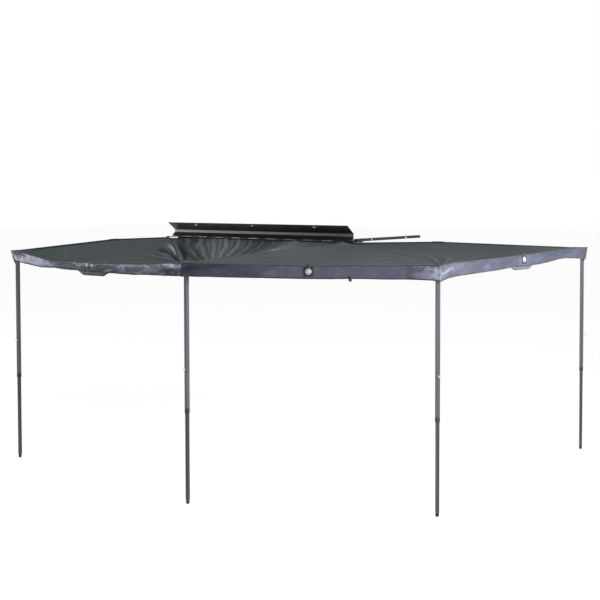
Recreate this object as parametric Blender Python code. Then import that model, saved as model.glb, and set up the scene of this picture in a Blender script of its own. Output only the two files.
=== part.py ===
"""Vehicle side awning with a hard folding case, open, with its four arms and legs out.

Metres, +Z up. +X runs along the case towards the vehicle's front, +Y points away from the vehicle.
The origin is the middle of the foot of the middle mounting bracket, where the awning sits on its rack.
"""
import math

import bmesh
import bpy
from mathutils import Matrix, Vector

# Running gap between pieces that touch
GAP = 0.0003

# Case
CASE_LENGTH = 2.33
CASE_HEIGHT = 0.150
CASE_WALL = 0.003
TOP_FLANGE = 0.100
BOTTOM_FLANGE = 0.036
SLOT_RIB_HEIGHT = 0.022
SLOT_RIB_DEPTH = 0.011
SLOT_MOUTH = 0.008
SLOT_WIDTH = 0.015
SLOT_LIP = 0.0035
SLOT_DEPTH = 0.0085
LOW_SLOT = 0.055
HIGH_SLOT = 0.109

# Mounting brackets
BRACKET_WIDTH = 0.080
BRACKET_FOOT = 0.075
BRACKET_PLATE = 0.006
BRACKET_HEIGHT = 0.090
BRACKET_SPACING = 0.80
FOOT_ABOVE_CASE_BOTTOM = 0.034
FOOT_ABOVE_GROUND = 1.850
BOLT_RADIUS = 0.003
BOLT_HEAD_RADIUS = 0.0065
BOLT_HEAD = 0.003
NUT_HEIGHT = 0.006

# Lid, drawn standing open on its hinge
LID_REAR_OVERHANG = 0.035
LID_WALL = 0.0025
LID_BOTTOM_SLANT = 0.0545
LID_WEB = 0.027
LID_TOP_RISE = 0.076
LID_DEPTH = 0.100
LID_SLANT_ANGLE = math.radians(140.5)
LID_START = 0.0095
LID_FACE = 0.0027
CATCH_SPACING = 0.785
CATCH_SIZE = (0.032, 0.005, 0.018)

# Lid hinge
HINGE_FORWARD = 0.0055
HINGE_DROP = 0.003
HINGE_ROD_RADIUS = 0.0025
HINGE_BARREL_RADIUS = 0.005
HINGE_LEAF = 0.002
EYE_WEB_INSET = 0.0005
HINGE_LEAF_LENGTH = 0.026
HINGE_SEGMENT = 0.110
HINGE_PAIRS = 5

# Pivots, measured from the main hub pin
HUB_PIN_FROM_BACK = 0.055
HUB_PIN_FROM_CASE_END = 0.020
COLUMN_SPACING = 0.041
OUTER_PIN_BACK = 0.036
FRONT_PIN_FROM_CASE_END = 0.025
PIN_RADIUS = 0.006
PIN_HEAD_RADIUS = 0.009
PIN_HEAD = 0.003
PIN_CLEARANCE = 0.0003
PLATE = 0.006
PLATE_MARGIN = 0.016
HUB_WEB_LENGTH = 0.110
ROOM_ABOVE_ROOT = 0.0035
ROOM_BELOW_ROOT = 0.0008

# Arms
ARM_WIDTH = 0.034
ARM_HEIGHT = 0.028
ARM_WALL = 0.0018
LEVEL_STEP = 0.033
ROOT_BELOW_CASE_TOP = 0.030
KNUCKLE_RISE = 0.007
TIP_DROP = 0.052
ARM_OVERRUN = 0.030
ROOT_BOSS_RADIUS = 0.015
ROOT_BLOCK_END = 0.048
CHANNEL_START = 0.026
SADDLE_HALF_LENGTH = 0.050
SADDLE_WALL = 0.0022
SADDLE_LEG = 0.023
CAP_PLATE = 0.003
CAP_DEPTH = 0.010
CORNER_POST = 0.006
CORNER_POST_WIDTH = 0.024

# Arm number: reach to the leg pivot, knuckle, angle deployed, angle stowed, upper level or lower level
ARMS = {
    1: dict(reach=2.000, knuckle=0.80, angle=93.5, stowed=180.0, level=0),
    2: dict(reach=2.085, knuckle=0.80, angle=87.5, stowed=0.0, level=1),
    3: dict(reach=1.909, knuckle=0.735, angle=144.2, stowed=0.0, level=1),
    4: dict(reach=2.150, knuckle=0.80, angle=218.9, stowed=0.0, level=0),
}

# Legs
LEG_OUTER = 0.028
LEG_WALL = 0.002
LEG_UPPER_LENGTH = 1.140
LEG_HEAD_SOLID = 0.030
LEG_PIVOT_BELOW_ARM_CENTRE = 0.0025
LEG_PIN_RADIUS = 0.004
LEG_PIN_HEAD_RADIUS = 0.0065
LEG_PIN_HEAD = 0.002
LOWER_OUTER = 0.0234
LOWER_WALL = 0.0018
LOWER_LENGTH = 1.070
FOOT_RADIUS = 0.0138
FOOT_HEIGHT = 0.030
SPIGOT_RADIUS = 0.0094
SPIGOT_HEIGHT = 0.025
LOCK_ABOVE_UPPER_END = 0.340
LOCK_PIN_RADIUS = 0.003
LOCK_HEAD_RADIUS = 0.0065
LOCK_HEAD = 0.005
RING_RADIUS = 0.0115
RING_WIRE = 0.0015

# Rear support bar
BAR_LENGTH = 1.135
BAR_WIDTH = 0.026
BAR_HEIGHT = 0.026
BAR_WALL = 0.002
BAR_OFFSET = 0.042
BAR_START = 0.015
BAR_BOLT_PLACES = (0.245, 0.855)
BAR_TONGUE = 0.095
BAR_FOOT_BOLT = 0.092
BAR_BOLT_RADIUS = 0.004
BAR_KNOB_RADIUS = 0.011
BAR_KNOB = 0.006
BAR_NUT_RADIUS = 0.007

# Canopy
CLOTH = 0.002
CLOTH_GAP = 0.0010
CANOPY_START = 0.100
CANOPY_OVERHANG = 0.056
VALANCE_DROP = 0.100
VALANCE_ROWS = ((0.12, 0.004), (0.55, 0.008), (1.0, 0.010))
EDGE_CURVE = 0.030
FLAT_OVER_ARM = 0.0215
SEAM_GAP = 0.0015
CASE_EDGE_BELOW_TOP = 0.021
CASE_EDGE_FORWARD = 0.012
SIDE_ATTACH_ABOVE_CENTRE = 0.004
SIDE_ATTACH_GAP = 0.0045
PANEL_SAG = 0.030
FRONT_EDGE_SAG = 0.055
SIDE_EDGE_SAG = 0.014
REAR_EDGE_SAG = 0.002
CREASE_SAG = 0.035
FOLD_HEIGHT = 0.009
FOLD_COUNT = 14

# Values that follow from the sizes above
CASE_BACK = BRACKET_FOOT / 2 + GAP
CASE_BOTTOM = -FOOT_ABOVE_CASE_BOTTOM
CASE_TOP = CASE_BOTTOM + CASE_HEIGHT
CASE_X = (-CASE_LENGTH / 2, CASE_LENGTH / 2)
GROUND = -FOOT_ABOVE_GROUND
HUB = Vector((CASE_X[0] - HUB_PIN_FROM_CASE_END, CASE_BACK + HUB_PIN_FROM_BACK, 0.0))
OUTER_HUB = HUB + Vector((-OUTER_PIN_BACK, COLUMN_SPACING, 0.0))
FRONT_HUB = Vector((CASE_X[1] + FRONT_PIN_FROM_CASE_END, HUB.y + 2 * COLUMN_SPACING, 0.0))
ROOT_Z = CASE_TOP - ROOT_BELOW_CASE_TOP
PIVOTS = {1: FRONT_HUB, 2: HUB, 3: OUTER_HUB, 4: HUB}
HINGE_Y = CASE_BACK + TOP_FLANGE + HINGE_FORWARD
HINGE_Z = CASE_TOP - HINGE_DROP

MATERIALS = {}


def clear_scene():
    for item in list(bpy.data.objects):
        bpy.data.objects.remove(item, do_unlink=True)


def material(name, colour, roughness, metallic=0.0):
    """One Principled material for each finish."""
    if name not in MATERIALS:
        made = bpy.data.materials.new(name)
        made.use_nodes = True
        shader = made.node_tree.nodes["Principled BSDF"]
        shader.inputs["Base Color"].default_value = (*colour, 1.0)
        shader.inputs["Roughness"].default_value = roughness
        shader.inputs["Metallic"].default_value = metallic
        MATERIALS[name] = made
    return MATERIALS[name]


def case_black():
    return material("case_black", (0.022, 0.023, 0.026), 0.42, 0.6)


def arm_black():
    return material("arm_black", (0.018, 0.018, 0.020), 0.45, 0.5)


def leg_grey():
    return material("leg_grey", (0.075, 0.078, 0.090), 0.38, 0.7)


def moulded_black():
    return material("moulded_black", (0.020, 0.020, 0.022), 0.60)


def bright_steel():
    return material("bright_steel", (0.62, 0.62, 0.64), 0.25, 1.0)


def canopy_grey():
    return material("canopy_grey", (0.070, 0.075, 0.082), 0.75)


def new_object(name, bm, finish, location=(0, 0, 0), turn=0.0):
    """A named object from a bmesh, with its faces turned outwards and its material set."""
    bmesh.ops.recalc_face_normals(bm, faces=bm.faces)
    mesh = bpy.data.meshes.new(name)
    bm.to_mesh(mesh)
    bm.free()
    return place_mesh(name, mesh, finish, location, turn)


def place_mesh(name, mesh, finish, location=(0, 0, 0), turn=0.0):
    made = bpy.data.objects.new(name, mesh)
    if not mesh.materials:
        mesh.materials.append(finish)
    made.location = location
    made.rotation_euler = (0, 0, turn)
    bpy.context.scene.collection.objects.link(made)
    return made


def sweep(bm, section, stations):
    """A section of (sideways, up) points carried along stations of (along, height), as one closed solid."""
    loops = []
    for along, height in stations:
        loops.append([bm.verts.new((along, side, height + up)) for side, up in section])
    for near, far in zip(loops, loops[1:]):
        for i in range(len(section)):
            j = (i + 1) % len(section)
            bm.faces.new((near[i], near[j], far[j], far[i]))
    bm.faces.new(loops[0])
    bm.faces.new(list(reversed(loops[-1])))
    return bm


def plate(bm, outline, low, high):
    """A flat outline of (x, y) points given its thickness from low to high."""
    lower = [bm.verts.new((x, y, low)) for x, y in outline]
    upper = [bm.verts.new((x, y, high)) for x, y in outline]
    for i in range(len(outline)):
        j = (i + 1) % len(outline)
        bm.faces.new((lower[i], lower[j], upper[j], upper[i]))
    bm.faces.new(list(reversed(lower)))
    bm.faces.new(upper)
    return bm


def box(bm, low, high):
    outline = ((low[0], low[1]), (high[0], low[1]), (high[0], high[1]), (low[0], high[1]))
    return plate(bm, outline, low[2], high[2])


def slab(bm, outline, near, far):
    """An outline of (x, z) points given its thickness along Y."""
    front = [bm.verts.new((x, near, z)) for x, z in outline]
    back = [bm.verts.new((x, far, z)) for x, z in outline]
    for i in range(len(outline)):
        j = (i + 1) % len(outline)
        bm.faces.new((front[i], front[j], back[j], back[i]))
    bm.faces.new(list(reversed(front)))
    bm.faces.new(back)
    return bm


def turned(bm, profile, sides, axis="Z", centre=(0, 0, 0)):
    """A turned solid: profile of (radius, height) from one end of the axis to the other, both ends on the axis."""
    turn = {"X": Matrix.Rotation(math.radians(90), 3, "Y"), "Y": Matrix.Rotation(math.radians(-90), 3, "X")}
    rotate = turn.get(axis, Matrix.Identity(3))
    centre = Vector(centre)
    rings = []
    for radius, height in profile:
        ring = []
        for k in range(sides):
            a = 2 * math.pi * (k + 0.5) / sides
            point = Vector((radius * math.cos(a), radius * math.sin(a), height))
            ring.append(bm.verts.new(centre + rotate @ point))
        rings.append(ring)
    for near, far in zip(rings, rings[1:]):
        for i in range(sides):
            j = (i + 1) % sides
            bm.faces.new((near[i], near[j], far[j], far[i]))
    bm.faces.new(rings[0])
    bm.faces.new(list(reversed(rings[-1])))
    return bm


def square_tube(bm, outer, inner, low, high):
    """A square tube open at both ends, upright."""
    rings = []
    for half, z in ((outer / 2, low), (outer / 2, high), (inner / 2, high), (inner / 2, low)):
        rings.append([bm.verts.new((sx * half, sy * half, z)) for sx, sy in ((-1, -1), (1, -1), (1, 1), (-1, 1))])
    for n in range(4):
        near, far = rings[n], rings[(n + 1) % 4]
        for i in range(4):
            j = (i + 1) % 4
            bm.faces.new((near[i], near[j], far[j], far[i]))
    return bm


def ring(bm, centre, radius, wire, around=16, across=6):
    """A round wire ring standing in the X-Z plane."""
    loops = []
    for k in range(around):
        a = 2 * math.pi * k / around
        loop = []
        for n in range(across):
            b = 2 * math.pi * n / across
            reach = radius + wire * math.cos(b)
            x, y, z = reach * math.cos(a), wire * math.sin(b), reach * math.sin(a)
            loop.append(bm.verts.new((centre[0] + x, centre[1] + y, centre[2] + z)))
        loops.append(loop)
    for k in range(around):
        near, far = loops[k], loops[(k + 1) % around]
        for n in range(across):
            m = (n + 1) % across
            bm.faces.new((near[n], near[m], far[m], far[n]))
    return bm


def combined(name, parts, cuts, finish, location=(0, 0, 0), turn=0.0):
    """Closed bodies joined into one, less the cuts, as one mesh."""
    base = new_object(name + "_body", parts[0], finish)
    tools = []
    for index, (operation, shapes) in enumerate((("UNION", parts[1:]), ("DIFFERENCE", cuts))):
        for n, shape in enumerate(shapes):
            tool = new_object(f"{name}_tool_{index}_{n}", shape, finish)
            tools.append(tool)
            cut = base.modifiers.new(tool.name, "BOOLEAN")
            cut.operation = operation
            cut.solver = "EXACT"
            cut.object = tool
    bpy.context.view_layer.update()
    evaluated = base.evaluated_get(bpy.context.evaluated_depsgraph_get())
    mesh = bpy.data.meshes.new_from_object(evaluated)
    mesh.name = name
    mesh.materials.clear()
    mesh.materials.append(finish)
    for item in tools + [base]:
        bpy.data.objects.remove(item, do_unlink=True)
    return place_mesh(name, mesh, finish, location, turn)


def smooth_round(item, angle=30.0):
    item.data.shade_smooth()
    item.data.set_sharp_from_angle(angle=math.radians(angle))
    return item


def along_x(section, x_from, x_to):
    """A (y, z) section run along X."""
    return sweep(bmesh.new(), section, ((x_from, 0.0), (x_to, 0.0)))


def case_section():
    """Back plate, two flanges and the two T-slots, seen along X."""
    y, z, top = CASE_BACK, CASE_BOTTOM, CASE_TOP
    points = [(y, z), (y + BOTTOM_FLANGE, z), (y + BOTTOM_FLANGE, z + CASE_WALL), (y + CASE_WALL, z + CASE_WALL)]
    low_slot, high_slot = slot_heights()
    for centre in (low_slot, high_slot):
        half = SLOT_RIB_HEIGHT / 2
        for depth, rise in ((CASE_WALL, -half), (SLOT_RIB_DEPTH, -half), (SLOT_RIB_DEPTH, half), (CASE_WALL, half)):
            points.append((y + depth, centre + rise))
    points += [(y + CASE_WALL, top - CASE_WALL), (y + TOP_FLANGE, top - CASE_WALL), (y + TOP_FLANGE, top), (y, top)]
    for centre in (high_slot, low_slot):
        mouth, wide = SLOT_MOUTH / 2, SLOT_WIDTH / 2
        points += [(y, centre + mouth), (y + SLOT_LIP, centre + mouth), (y + SLOT_LIP, centre + wide)]
        points += [(y + SLOT_DEPTH, centre + wide), (y + SLOT_DEPTH, centre - wide)]
        points += [(y + SLOT_LIP, centre - wide), (y + SLOT_LIP, centre - mouth), (y, centre - mouth)]
    return points


def slot_heights():
    return CASE_BOTTOM + LOW_SLOT, CASE_BOTTOM + HIGH_SLOT


def build_case():
    """Extruded base, with the hinge eyes at the end of its top flange cut into short lengths."""
    extrusion = along_x(case_section(), *CASE_X)
    eye_web = HINGE_FORWARD + CASE_WALL
    r = HINGE_BARREL_RADIUS
    low, high = HINGE_DROP - CASE_WALL + EYE_WEB_INSET, HINGE_DROP - EYE_WEB_INSET
    web_angle = math.degrees(math.asin(high / r))
    lower_angle = math.degrees(math.asin(low / r))
    eye = arc(r, 180 - web_angle, -180 + lower_angle, 9)
    eye = [(HINGE_Y + y, HINGE_Z + z) for y, z in eye]
    eye += [(HINGE_Y - eye_web, HINGE_Z + low), (HINGE_Y - eye_web, HINGE_Z + high)]
    eyes, bores = [], bmesh.new()
    for n in range(HINGE_PAIRS):
        x0, x1 = knuckle_x(2 * n)
        eyes.append(along_x(eye, x0, x1))
        hinge_bore(bores, x0, x1, HINGE_Y, HINGE_Z)
    combined("case_base", [extrusion] + eyes, [bores], case_black())


def hinge_bore(bores, x0, x1, y, z):
    radius = HINGE_ROD_RADIUS + GAP
    turned(bores, ((radius, x0 - CASE_WALL), (radius, x1 + CASE_WALL)), 10, "X", (0.0, y, z))


def build_mounts():
    """Angle brackets on the case's back, each bolted in the upper T-slot; the lower slot suits other racks."""
    back = CASE_BACK - GAP
    inner = back - BRACKET_PLATE
    section = [(-BRACKET_FOOT / 2, 0.0), (back, 0.0), (back, BRACKET_HEIGHT), (inner, BRACKET_HEIGHT)]
    section += [(inner, BRACKET_PLATE), (-BRACKET_FOOT / 2, BRACKET_PLATE)]
    head_y = CASE_BACK + SLOT_LIP + GAP
    nut_y = inner - GAP
    hole_radius = BOLT_RADIUS + PIN_CLEARANCE
    hole = ((hole_radius, inner - PLATE), (hole_radius, back + PLATE))
    bolt = (
        (BOLT_HEAD_RADIUS, head_y + BOLT_HEAD),
        (BOLT_HEAD_RADIUS, head_y),
        (BOLT_RADIUS, head_y),
        (BOLT_RADIUS, nut_y),
        (BOLT_HEAD_RADIUS, nut_y),
        (BOLT_HEAD_RADIUS, nut_y - NUT_HEIGHT),
    )
    z = slot_heights()[1]
    for name, x in (("rear", -BRACKET_SPACING), ("middle", 0.0), ("front", BRACKET_SPACING)):
        bracket = along_x(section, x - BRACKET_WIDTH / 2, x + BRACKET_WIDTH / 2)
        bolt_hole = turned(bmesh.new(), hole, 12, "Y", (x, 0.0, z))
        combined(f"mount_bracket_{name}", [bracket], [bolt_hole], case_black())
        new_object(f"bracket_bolt_{name}", turned(bmesh.new(), bolt, 12, "Y", (x, 0.0, z)), bright_steel())


def level_z(level):
    return ROOT_Z - level * LEVEL_STEP


def pivot_bracket(name, pins, x_web, low, high, upper_outline, lower_outline, extra_holes=()):
    """A bracket with an upright web inside the case and a plate above and below the arm roots."""
    web_y = CASE_BACK + SLOT_RIB_DEPTH + GAP
    inset = PLATE / 2
    web = box(bmesh.new(), (x_web[0], web_y, low + inset), (x_web[1], web_y + PLATE, high - inset))
    upper = plate(bmesh.new(), upper_outline, high - PLATE, high)
    lower = plate(bmesh.new(), lower_outline, low, low + PLATE)
    holes = []
    for pin in pins:
        profile = ((PIN_RADIUS + PIN_CLEARANCE, low - PLATE), (PIN_RADIUS + PIN_CLEARANCE, high + PLATE))
        holes.append(turned(bmesh.new(), profile, 16, "Z", (pin.x, pin.y, 0.0)))
    for x, y in extra_holes:
        radius = BAR_BOLT_RADIUS + PIN_CLEARANCE
        holes.append(turned(bmesh.new(), ((radius, high - 2 * PLATE), (radius, high + PLATE)), 12, "Z", (x, y, 0.0)))
    return combined(name, [web, upper, lower], holes, case_black())


def pin_profile(low, high):
    """A pin with a head at each end, from under the lower head to over the upper one."""
    return (
        (PIN_HEAD_RADIUS, low - GAP - PIN_HEAD),
        (PIN_HEAD_RADIUS, low - GAP),
        (PIN_RADIUS, low - GAP),
        (PIN_RADIUS, high + GAP),
        (PIN_HEAD_RADIUS, high + GAP),
        (PIN_HEAD_RADIUS, high + GAP + PIN_HEAD),
    )


def bracket_span(lowest_level):
    """Lower and upper face of a bracket whose arm roots stand between its plates."""
    root = ARM_HEIGHT / 2
    return level_z(lowest_level) - root - ROOM_BELOW_ROOT - PLATE, level_z(0) + root + ROOM_ABOVE_ROOT + PLATE


def build_pivots():
    web_y = CASE_BACK + SLOT_RIB_DEPTH + GAP
    low, high = bracket_span(1)
    x_web = (CASE_X[0] + GAP, CASE_X[0] + HUB_WEB_LENGTH)
    bar_edges = (HUB.x - BAR_OFFSET - BAR_WIDTH / 2, HUB.x - BAR_OFFSET + BAR_WIDTH / 2)
    margin = PLATE_MARGIN
    root = [(x_web[1], web_y), (x_web[1], web_y + PLATE), (HUB.x + margin, HUB.y + margin)]
    upper = root + [(bar_edges[0], HUB.y + margin), (bar_edges[0], HUB.y - BAR_TONGUE)]
    upper += [(bar_edges[1], HUB.y - BAR_TONGUE), (bar_edges[1], web_y)]
    lower = root + [
        (OUTER_HUB.x + margin, OUTER_HUB.y + margin),
        (OUTER_HUB.x - margin, OUTER_HUB.y + margin),
        (OUTER_HUB.x - margin, HUB.y + margin),
        (x_web[0], web_y),
    ]
    foot_bolt = (HUB.x - BAR_OFFSET, HUB.y + BAR_START - BAR_FOOT_BOLT)
    pivot_bracket("hub_bracket", (HUB, OUTER_HUB), x_web, low, high, upper, lower, (foot_bolt,))
    front_low, front_high = bracket_span(0)
    x_front = (CASE_X[1] - HUB_WEB_LENGTH, CASE_X[1] - GAP)
    ear = [
        (x_front[0], web_y),
        (x_front[1], web_y),
        (FRONT_HUB.x + margin, FRONT_HUB.y - margin),
        (FRONT_HUB.x + margin, FRONT_HUB.y + margin),
        (FRONT_HUB.x - margin, FRONT_HUB.y + margin),
        (x_front[1] - HUB_WEB_LENGTH / 2, HUB.y + COLUMN_SPACING),
        (x_front[0], web_y + PLATE),
    ]
    pivot_bracket("front_bracket", (FRONT_HUB,), x_front, front_low, front_high, ear, ear)
    outer_top = level_z(1) + ARM_HEIGHT / 2
    for name, pin, span in (
        ("hub_pin", HUB, (low, high)),
        ("outer_hub_pin", OUTER_HUB, (low, outer_top)),
        ("front_pin", FRONT_HUB, (front_low, front_high)),
    ):
        body = turned(bmesh.new(), pin_profile(*span), 16)
        smooth_round(new_object(name, body, bright_steel(), (pin.x, pin.y, 0.0)))


def lid_path():
    """Concave face of the lid, from the hinge up, and its convex face, around the hinge axis."""
    along = Vector((math.cos(LID_SLANT_ANGLE), math.sin(LID_SLANT_ANGLE)))
    across = Vector((math.sin(LID_SLANT_ANGLE), -math.cos(LID_SLANT_ANGLE)))
    start = along * LID_START + across * LID_FACE
    bend = along * (LID_START + LID_BOTTOM_SLANT) + across * LID_FACE
    shoulder = bend + Vector((0.0, LID_WEB))
    lip = shoulder + Vector((LID_DEPTH, LID_TOP_RISE))
    return [start, bend, shoulder, lip]


def offset_line(points, distance):
    """A polyline moved sideways by distance, mitred at its corners."""
    moved = []
    for i, point in enumerate(points):
        normals = []
        for a, b in ((i - 1, i), (i, i + 1)):
            if a >= 0 and b < len(points):
                step = (points[b] - points[a]).normalized()
                normals.append(Vector((-step.y, step.x)))
        middle = sum(normals, Vector((0.0, 0.0))).normalized()
        moved.append(point + middle * distance / middle.dot(normals[0]))
    return moved


def build_lid():
    """Bent sheet with the hinge eyes on its lower edge, gussets at its ends and three catches below the lip."""
    front = lid_path()
    back = offset_line(front, LID_WALL)
    section = [(p.x, p.y) for p in front] + [(p.x, p.y) for p in reversed(back)]
    hinge = (0.0, HINGE_Y, HINGE_Z)
    lid_x = (CASE_X[0] - LID_REAR_OVERHANG, CASE_X[1])
    sheet = along_x(section, *lid_x)
    eyes, bores = [], bmesh.new()
    for n in range(HINGE_PAIRS):
        x0, x1 = knuckle_x(2 * n + 1)
        eyes.append(along_x(lid_eye(), x0, x1))
        hinge_bore(bores, x0, x1, 0.0, 0.0)
    middle = offset_line(front, LID_WALL / 2)
    gusset = [(middle[1].x, middle[1].y), (middle[0].x, middle[0].y), (middle[1].x, middle[0].y)]
    ends = []
    for x0 in (lid_x[0] + GAP, lid_x[1] - GAP - LID_WALL):
        ends.append(along_x(gusset, x0, x0 + LID_WALL))
    combined("lid_shell", [sheet] + eyes + ends, [bores], case_black(), hinge)
    lip, shoulder = front[3], front[2]
    slope = (lip - shoulder).normalized()
    inward = Vector((slope.y, -slope.x))
    foot = lip - slope * CATCH_SIZE[2] + inward * GAP
    corners = [foot, foot + inward * CATCH_SIZE[1]]
    corners += [corners[1] - slope * CATCH_SIZE[2], foot - slope * CATCH_SIZE[2]]
    outline = [(p.x, p.y) for p in corners]
    lid_centre = sum(lid_x) / 2
    for name, place in (("rear", -1), ("middle", 0), ("front", 1)):
        x = lid_centre + place * CATCH_SPACING
        catch = along_x(outline, x - CATCH_SIZE[0] / 2, x + CATCH_SIZE[0] / 2)
        new_object(f"lid_catch_{name}", catch, moulded_black(), hinge)


def lid_eye():
    """Section of a hinge eye and the leaf that joins it to the lid's inner face, around the hinge axis."""
    r = HINGE_BARREL_RADIUS
    under = LID_FACE - HINGE_LEAF / 2
    along = Vector((math.cos(LID_SLANT_ANGLE), math.sin(LID_SLANT_ANGLE)))
    across = Vector((math.sin(LID_SLANT_ANGLE), -math.cos(LID_SLANT_ANGLE)))
    leaf = [along * HINGE_LEAF_LENGTH + across * under, along * HINGE_LEAF_LENGTH + across * r]
    inner = along * math.sqrt(r * r - under * under) + across * under
    first = math.degrees(LID_SLANT_ANGLE) - 90
    last = math.degrees(math.atan2(inner.y, inner.x)) - 360
    return arc(r, first, last, 9) + [tuple(leaf[0]), tuple(leaf[1])]


def arc(radius, first, last, steps):
    """Points on a circle, angles in degrees."""
    angles = [math.radians(first + (last - first) * k / steps) for k in range(steps + 1)]
    return [(radius * math.cos(a), radius * math.sin(a)) for a in angles]


def knuckle_x(index):
    """Where hinge segment number index lies: lid and base segments take turns along the case."""
    pitch = CASE_LENGTH / (2 * HINGE_PAIRS)
    centre = CASE_X[0] + pitch * (index + 0.5)
    return centre - HINGE_SEGMENT / 2, centre + HINGE_SEGMENT / 2


def build_hinge_rod():
    span = knuckle_x(2 * HINGE_PAIRS - 1)[1] - knuckle_x(0)[0]
    rod = ((HINGE_ROD_RADIUS, 0.0), (HINGE_ROD_RADIUS, span))
    new_object("hinge_rod", turned(bmesh.new(), rod, 10, "X"), bright_steel(), (knuckle_x(0)[0], HINGE_Y, HINGE_Z))


def channel_section():
    w, h, t = ARM_WIDTH / 2, ARM_HEIGHT / 2, ARM_WALL
    return [(-w, -h), (-w, h), (w, h), (w, -h), (w - t, -h), (w - t, h - t), (-w + t, h - t), (-w + t, -h)]


def saddle_section():
    w, h = ARM_WIDTH / 2 + GAP, ARM_HEIGHT / 2 + GAP
    t = SADDLE_WALL
    foot = h - SADDLE_LEG
    return [(-w - t, foot), (-w - t, h + t), (w + t, h + t), (w + t, foot), (w, foot), (w, h), (-w, h), (-w, foot)]


def arm_height(arm, along):
    """Height of an arm's centre line above its root, at a distance along it."""
    knuckle = arm["knuckle"]
    if along < knuckle:
        return KNUCKLE_RISE * along / knuckle
    share = (along - knuckle) / (arm["reach"] - knuckle)
    return KNUCKLE_RISE - (KNUCKLE_RISE + TIP_DROP) * share


def arm_frame(number):
    arm = ARMS[number]
    pivot = PIVOTS[number]
    return arm, (pivot.x, pivot.y, level_z(arm["level"])), math.radians(arm["angle"])


def build_arm(number):
    arm, place, turn = arm_frame(number)
    knuckle, reach = arm["knuckle"], arm["reach"]
    end = reach + ARM_OVERRUN
    inner_stations = ((CHANNEL_START, arm_height(arm, CHANNEL_START)), (knuckle - GAP, arm_height(arm, knuckle)))
    channel = sweep(bmesh.new(), channel_section(), inner_stations)
    w, h = ARM_WIDTH / 2 - ARM_WALL / 2, ARM_HEIGHT / 2
    block = sweep(
        bmesh.new(),
        [(-w, -h + ARM_WALL), (-w, h - ARM_WALL / 2), (w, h - ARM_WALL / 2), (w, -h + ARM_WALL)],
        ((0.0, 0.0), (ROOT_BLOCK_END, arm_height(arm, ROOT_BLOCK_END))),
    )
    boss_top = h - GAP if number == 3 else h + ROOM_ABOVE_ROOT - GAP
    boss = turned(bmesh.new(), ((ROOT_BOSS_RADIUS, -h), (ROOT_BOSS_RADIUS, boss_top)), 20)
    bore_radius = PIN_RADIUS + PIN_CLEARANCE
    bore = turned(bmesh.new(), ((bore_radius, -ARM_HEIGHT), (bore_radius, ARM_HEIGHT)), 16)
    combined(f"arm_{number}_inner", [channel, block, boss], [bore], arm_black(), place, turn)
    outer = sweep(bmesh.new(), channel_section(), ((knuckle, arm_height(arm, knuckle)), (end, arm_height(arm, end))))
    pivot_z = arm_height(arm, reach) - LEG_PIVOT_BELOW_ARM_CENTRE
    hole_radius = LEG_PIN_RADIUS + PIN_CLEARANCE
    pin_hole = turned(bmesh.new(), ((hole_radius, -ARM_WIDTH), (hole_radius, ARM_WIDTH)), 12, "Y", (reach, 0, pivot_z))
    combined(f"arm_{number}_outer", [outer], [pin_hole], arm_black(), place, turn)
    stations = []
    for along in (knuckle - SADDLE_HALF_LENGTH, knuckle, knuckle + SADDLE_HALF_LENGTH):
        stations.append((along, arm_height(arm, along)))
    new_object(f"arm_{number}_knuckle", sweep(bmesh.new(), saddle_section(), stations), arm_black(), place, turn)
    build_end_cap(number, arm, place, turn, end)
    half = ARM_WIDTH / 2 + GAP
    head = half + LEG_PIN_HEAD
    profile = (
        (LEG_PIN_HEAD_RADIUS, -head),
        (LEG_PIN_HEAD_RADIUS, -half),
        (LEG_PIN_RADIUS, -half),
        (LEG_PIN_RADIUS, half),
        (LEG_PIN_HEAD_RADIUS, half),
        (LEG_PIN_HEAD_RADIUS, head),
    )
    pin = turned(bmesh.new(), profile, 12, "Y", (reach, 0.0, pivot_z))
    smooth_round(new_object(f"arm_{number}_leg_pin", pin, bright_steel(), place, turn))


def build_end_cap(number, arm, place, turn, end):
    """A plug in the arm's open end; on the lower arms it has a post that lifts the canopy's corner."""
    w, h = ARM_WIDTH / 2, ARM_HEIGHT / 2
    inside = w - ARM_WALL - GAP
    stations = ((end - CAP_DEPTH, arm_height(arm, end - CAP_DEPTH)), (end + CAP_PLATE, arm_height(arm, end)))
    plug_section = [(-inside, -h), (-inside, h - ARM_WALL - GAP), (inside, h - ARM_WALL - GAP), (inside, -h)]
    plug = sweep(bmesh.new(), plug_section, stations)
    face_section = [(-w, -h), (-w, h), (w, h), (w, -h)]
    if arm["level"]:
        post = CORNER_POST_WIDTH / 2
        face_section[2:2] = [(-post, h), (-post, h + CORNER_POST), (post, h + CORNER_POST), (post, h)]
    z = arm_height(arm, end)
    face = sweep(bmesh.new(), face_section, ((end + GAP, z), (end + CAP_PLATE + GAP, z)))
    combined(f"arm_{number}_end_cap", [plug, face], [], moulded_black(), place, turn)


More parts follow.
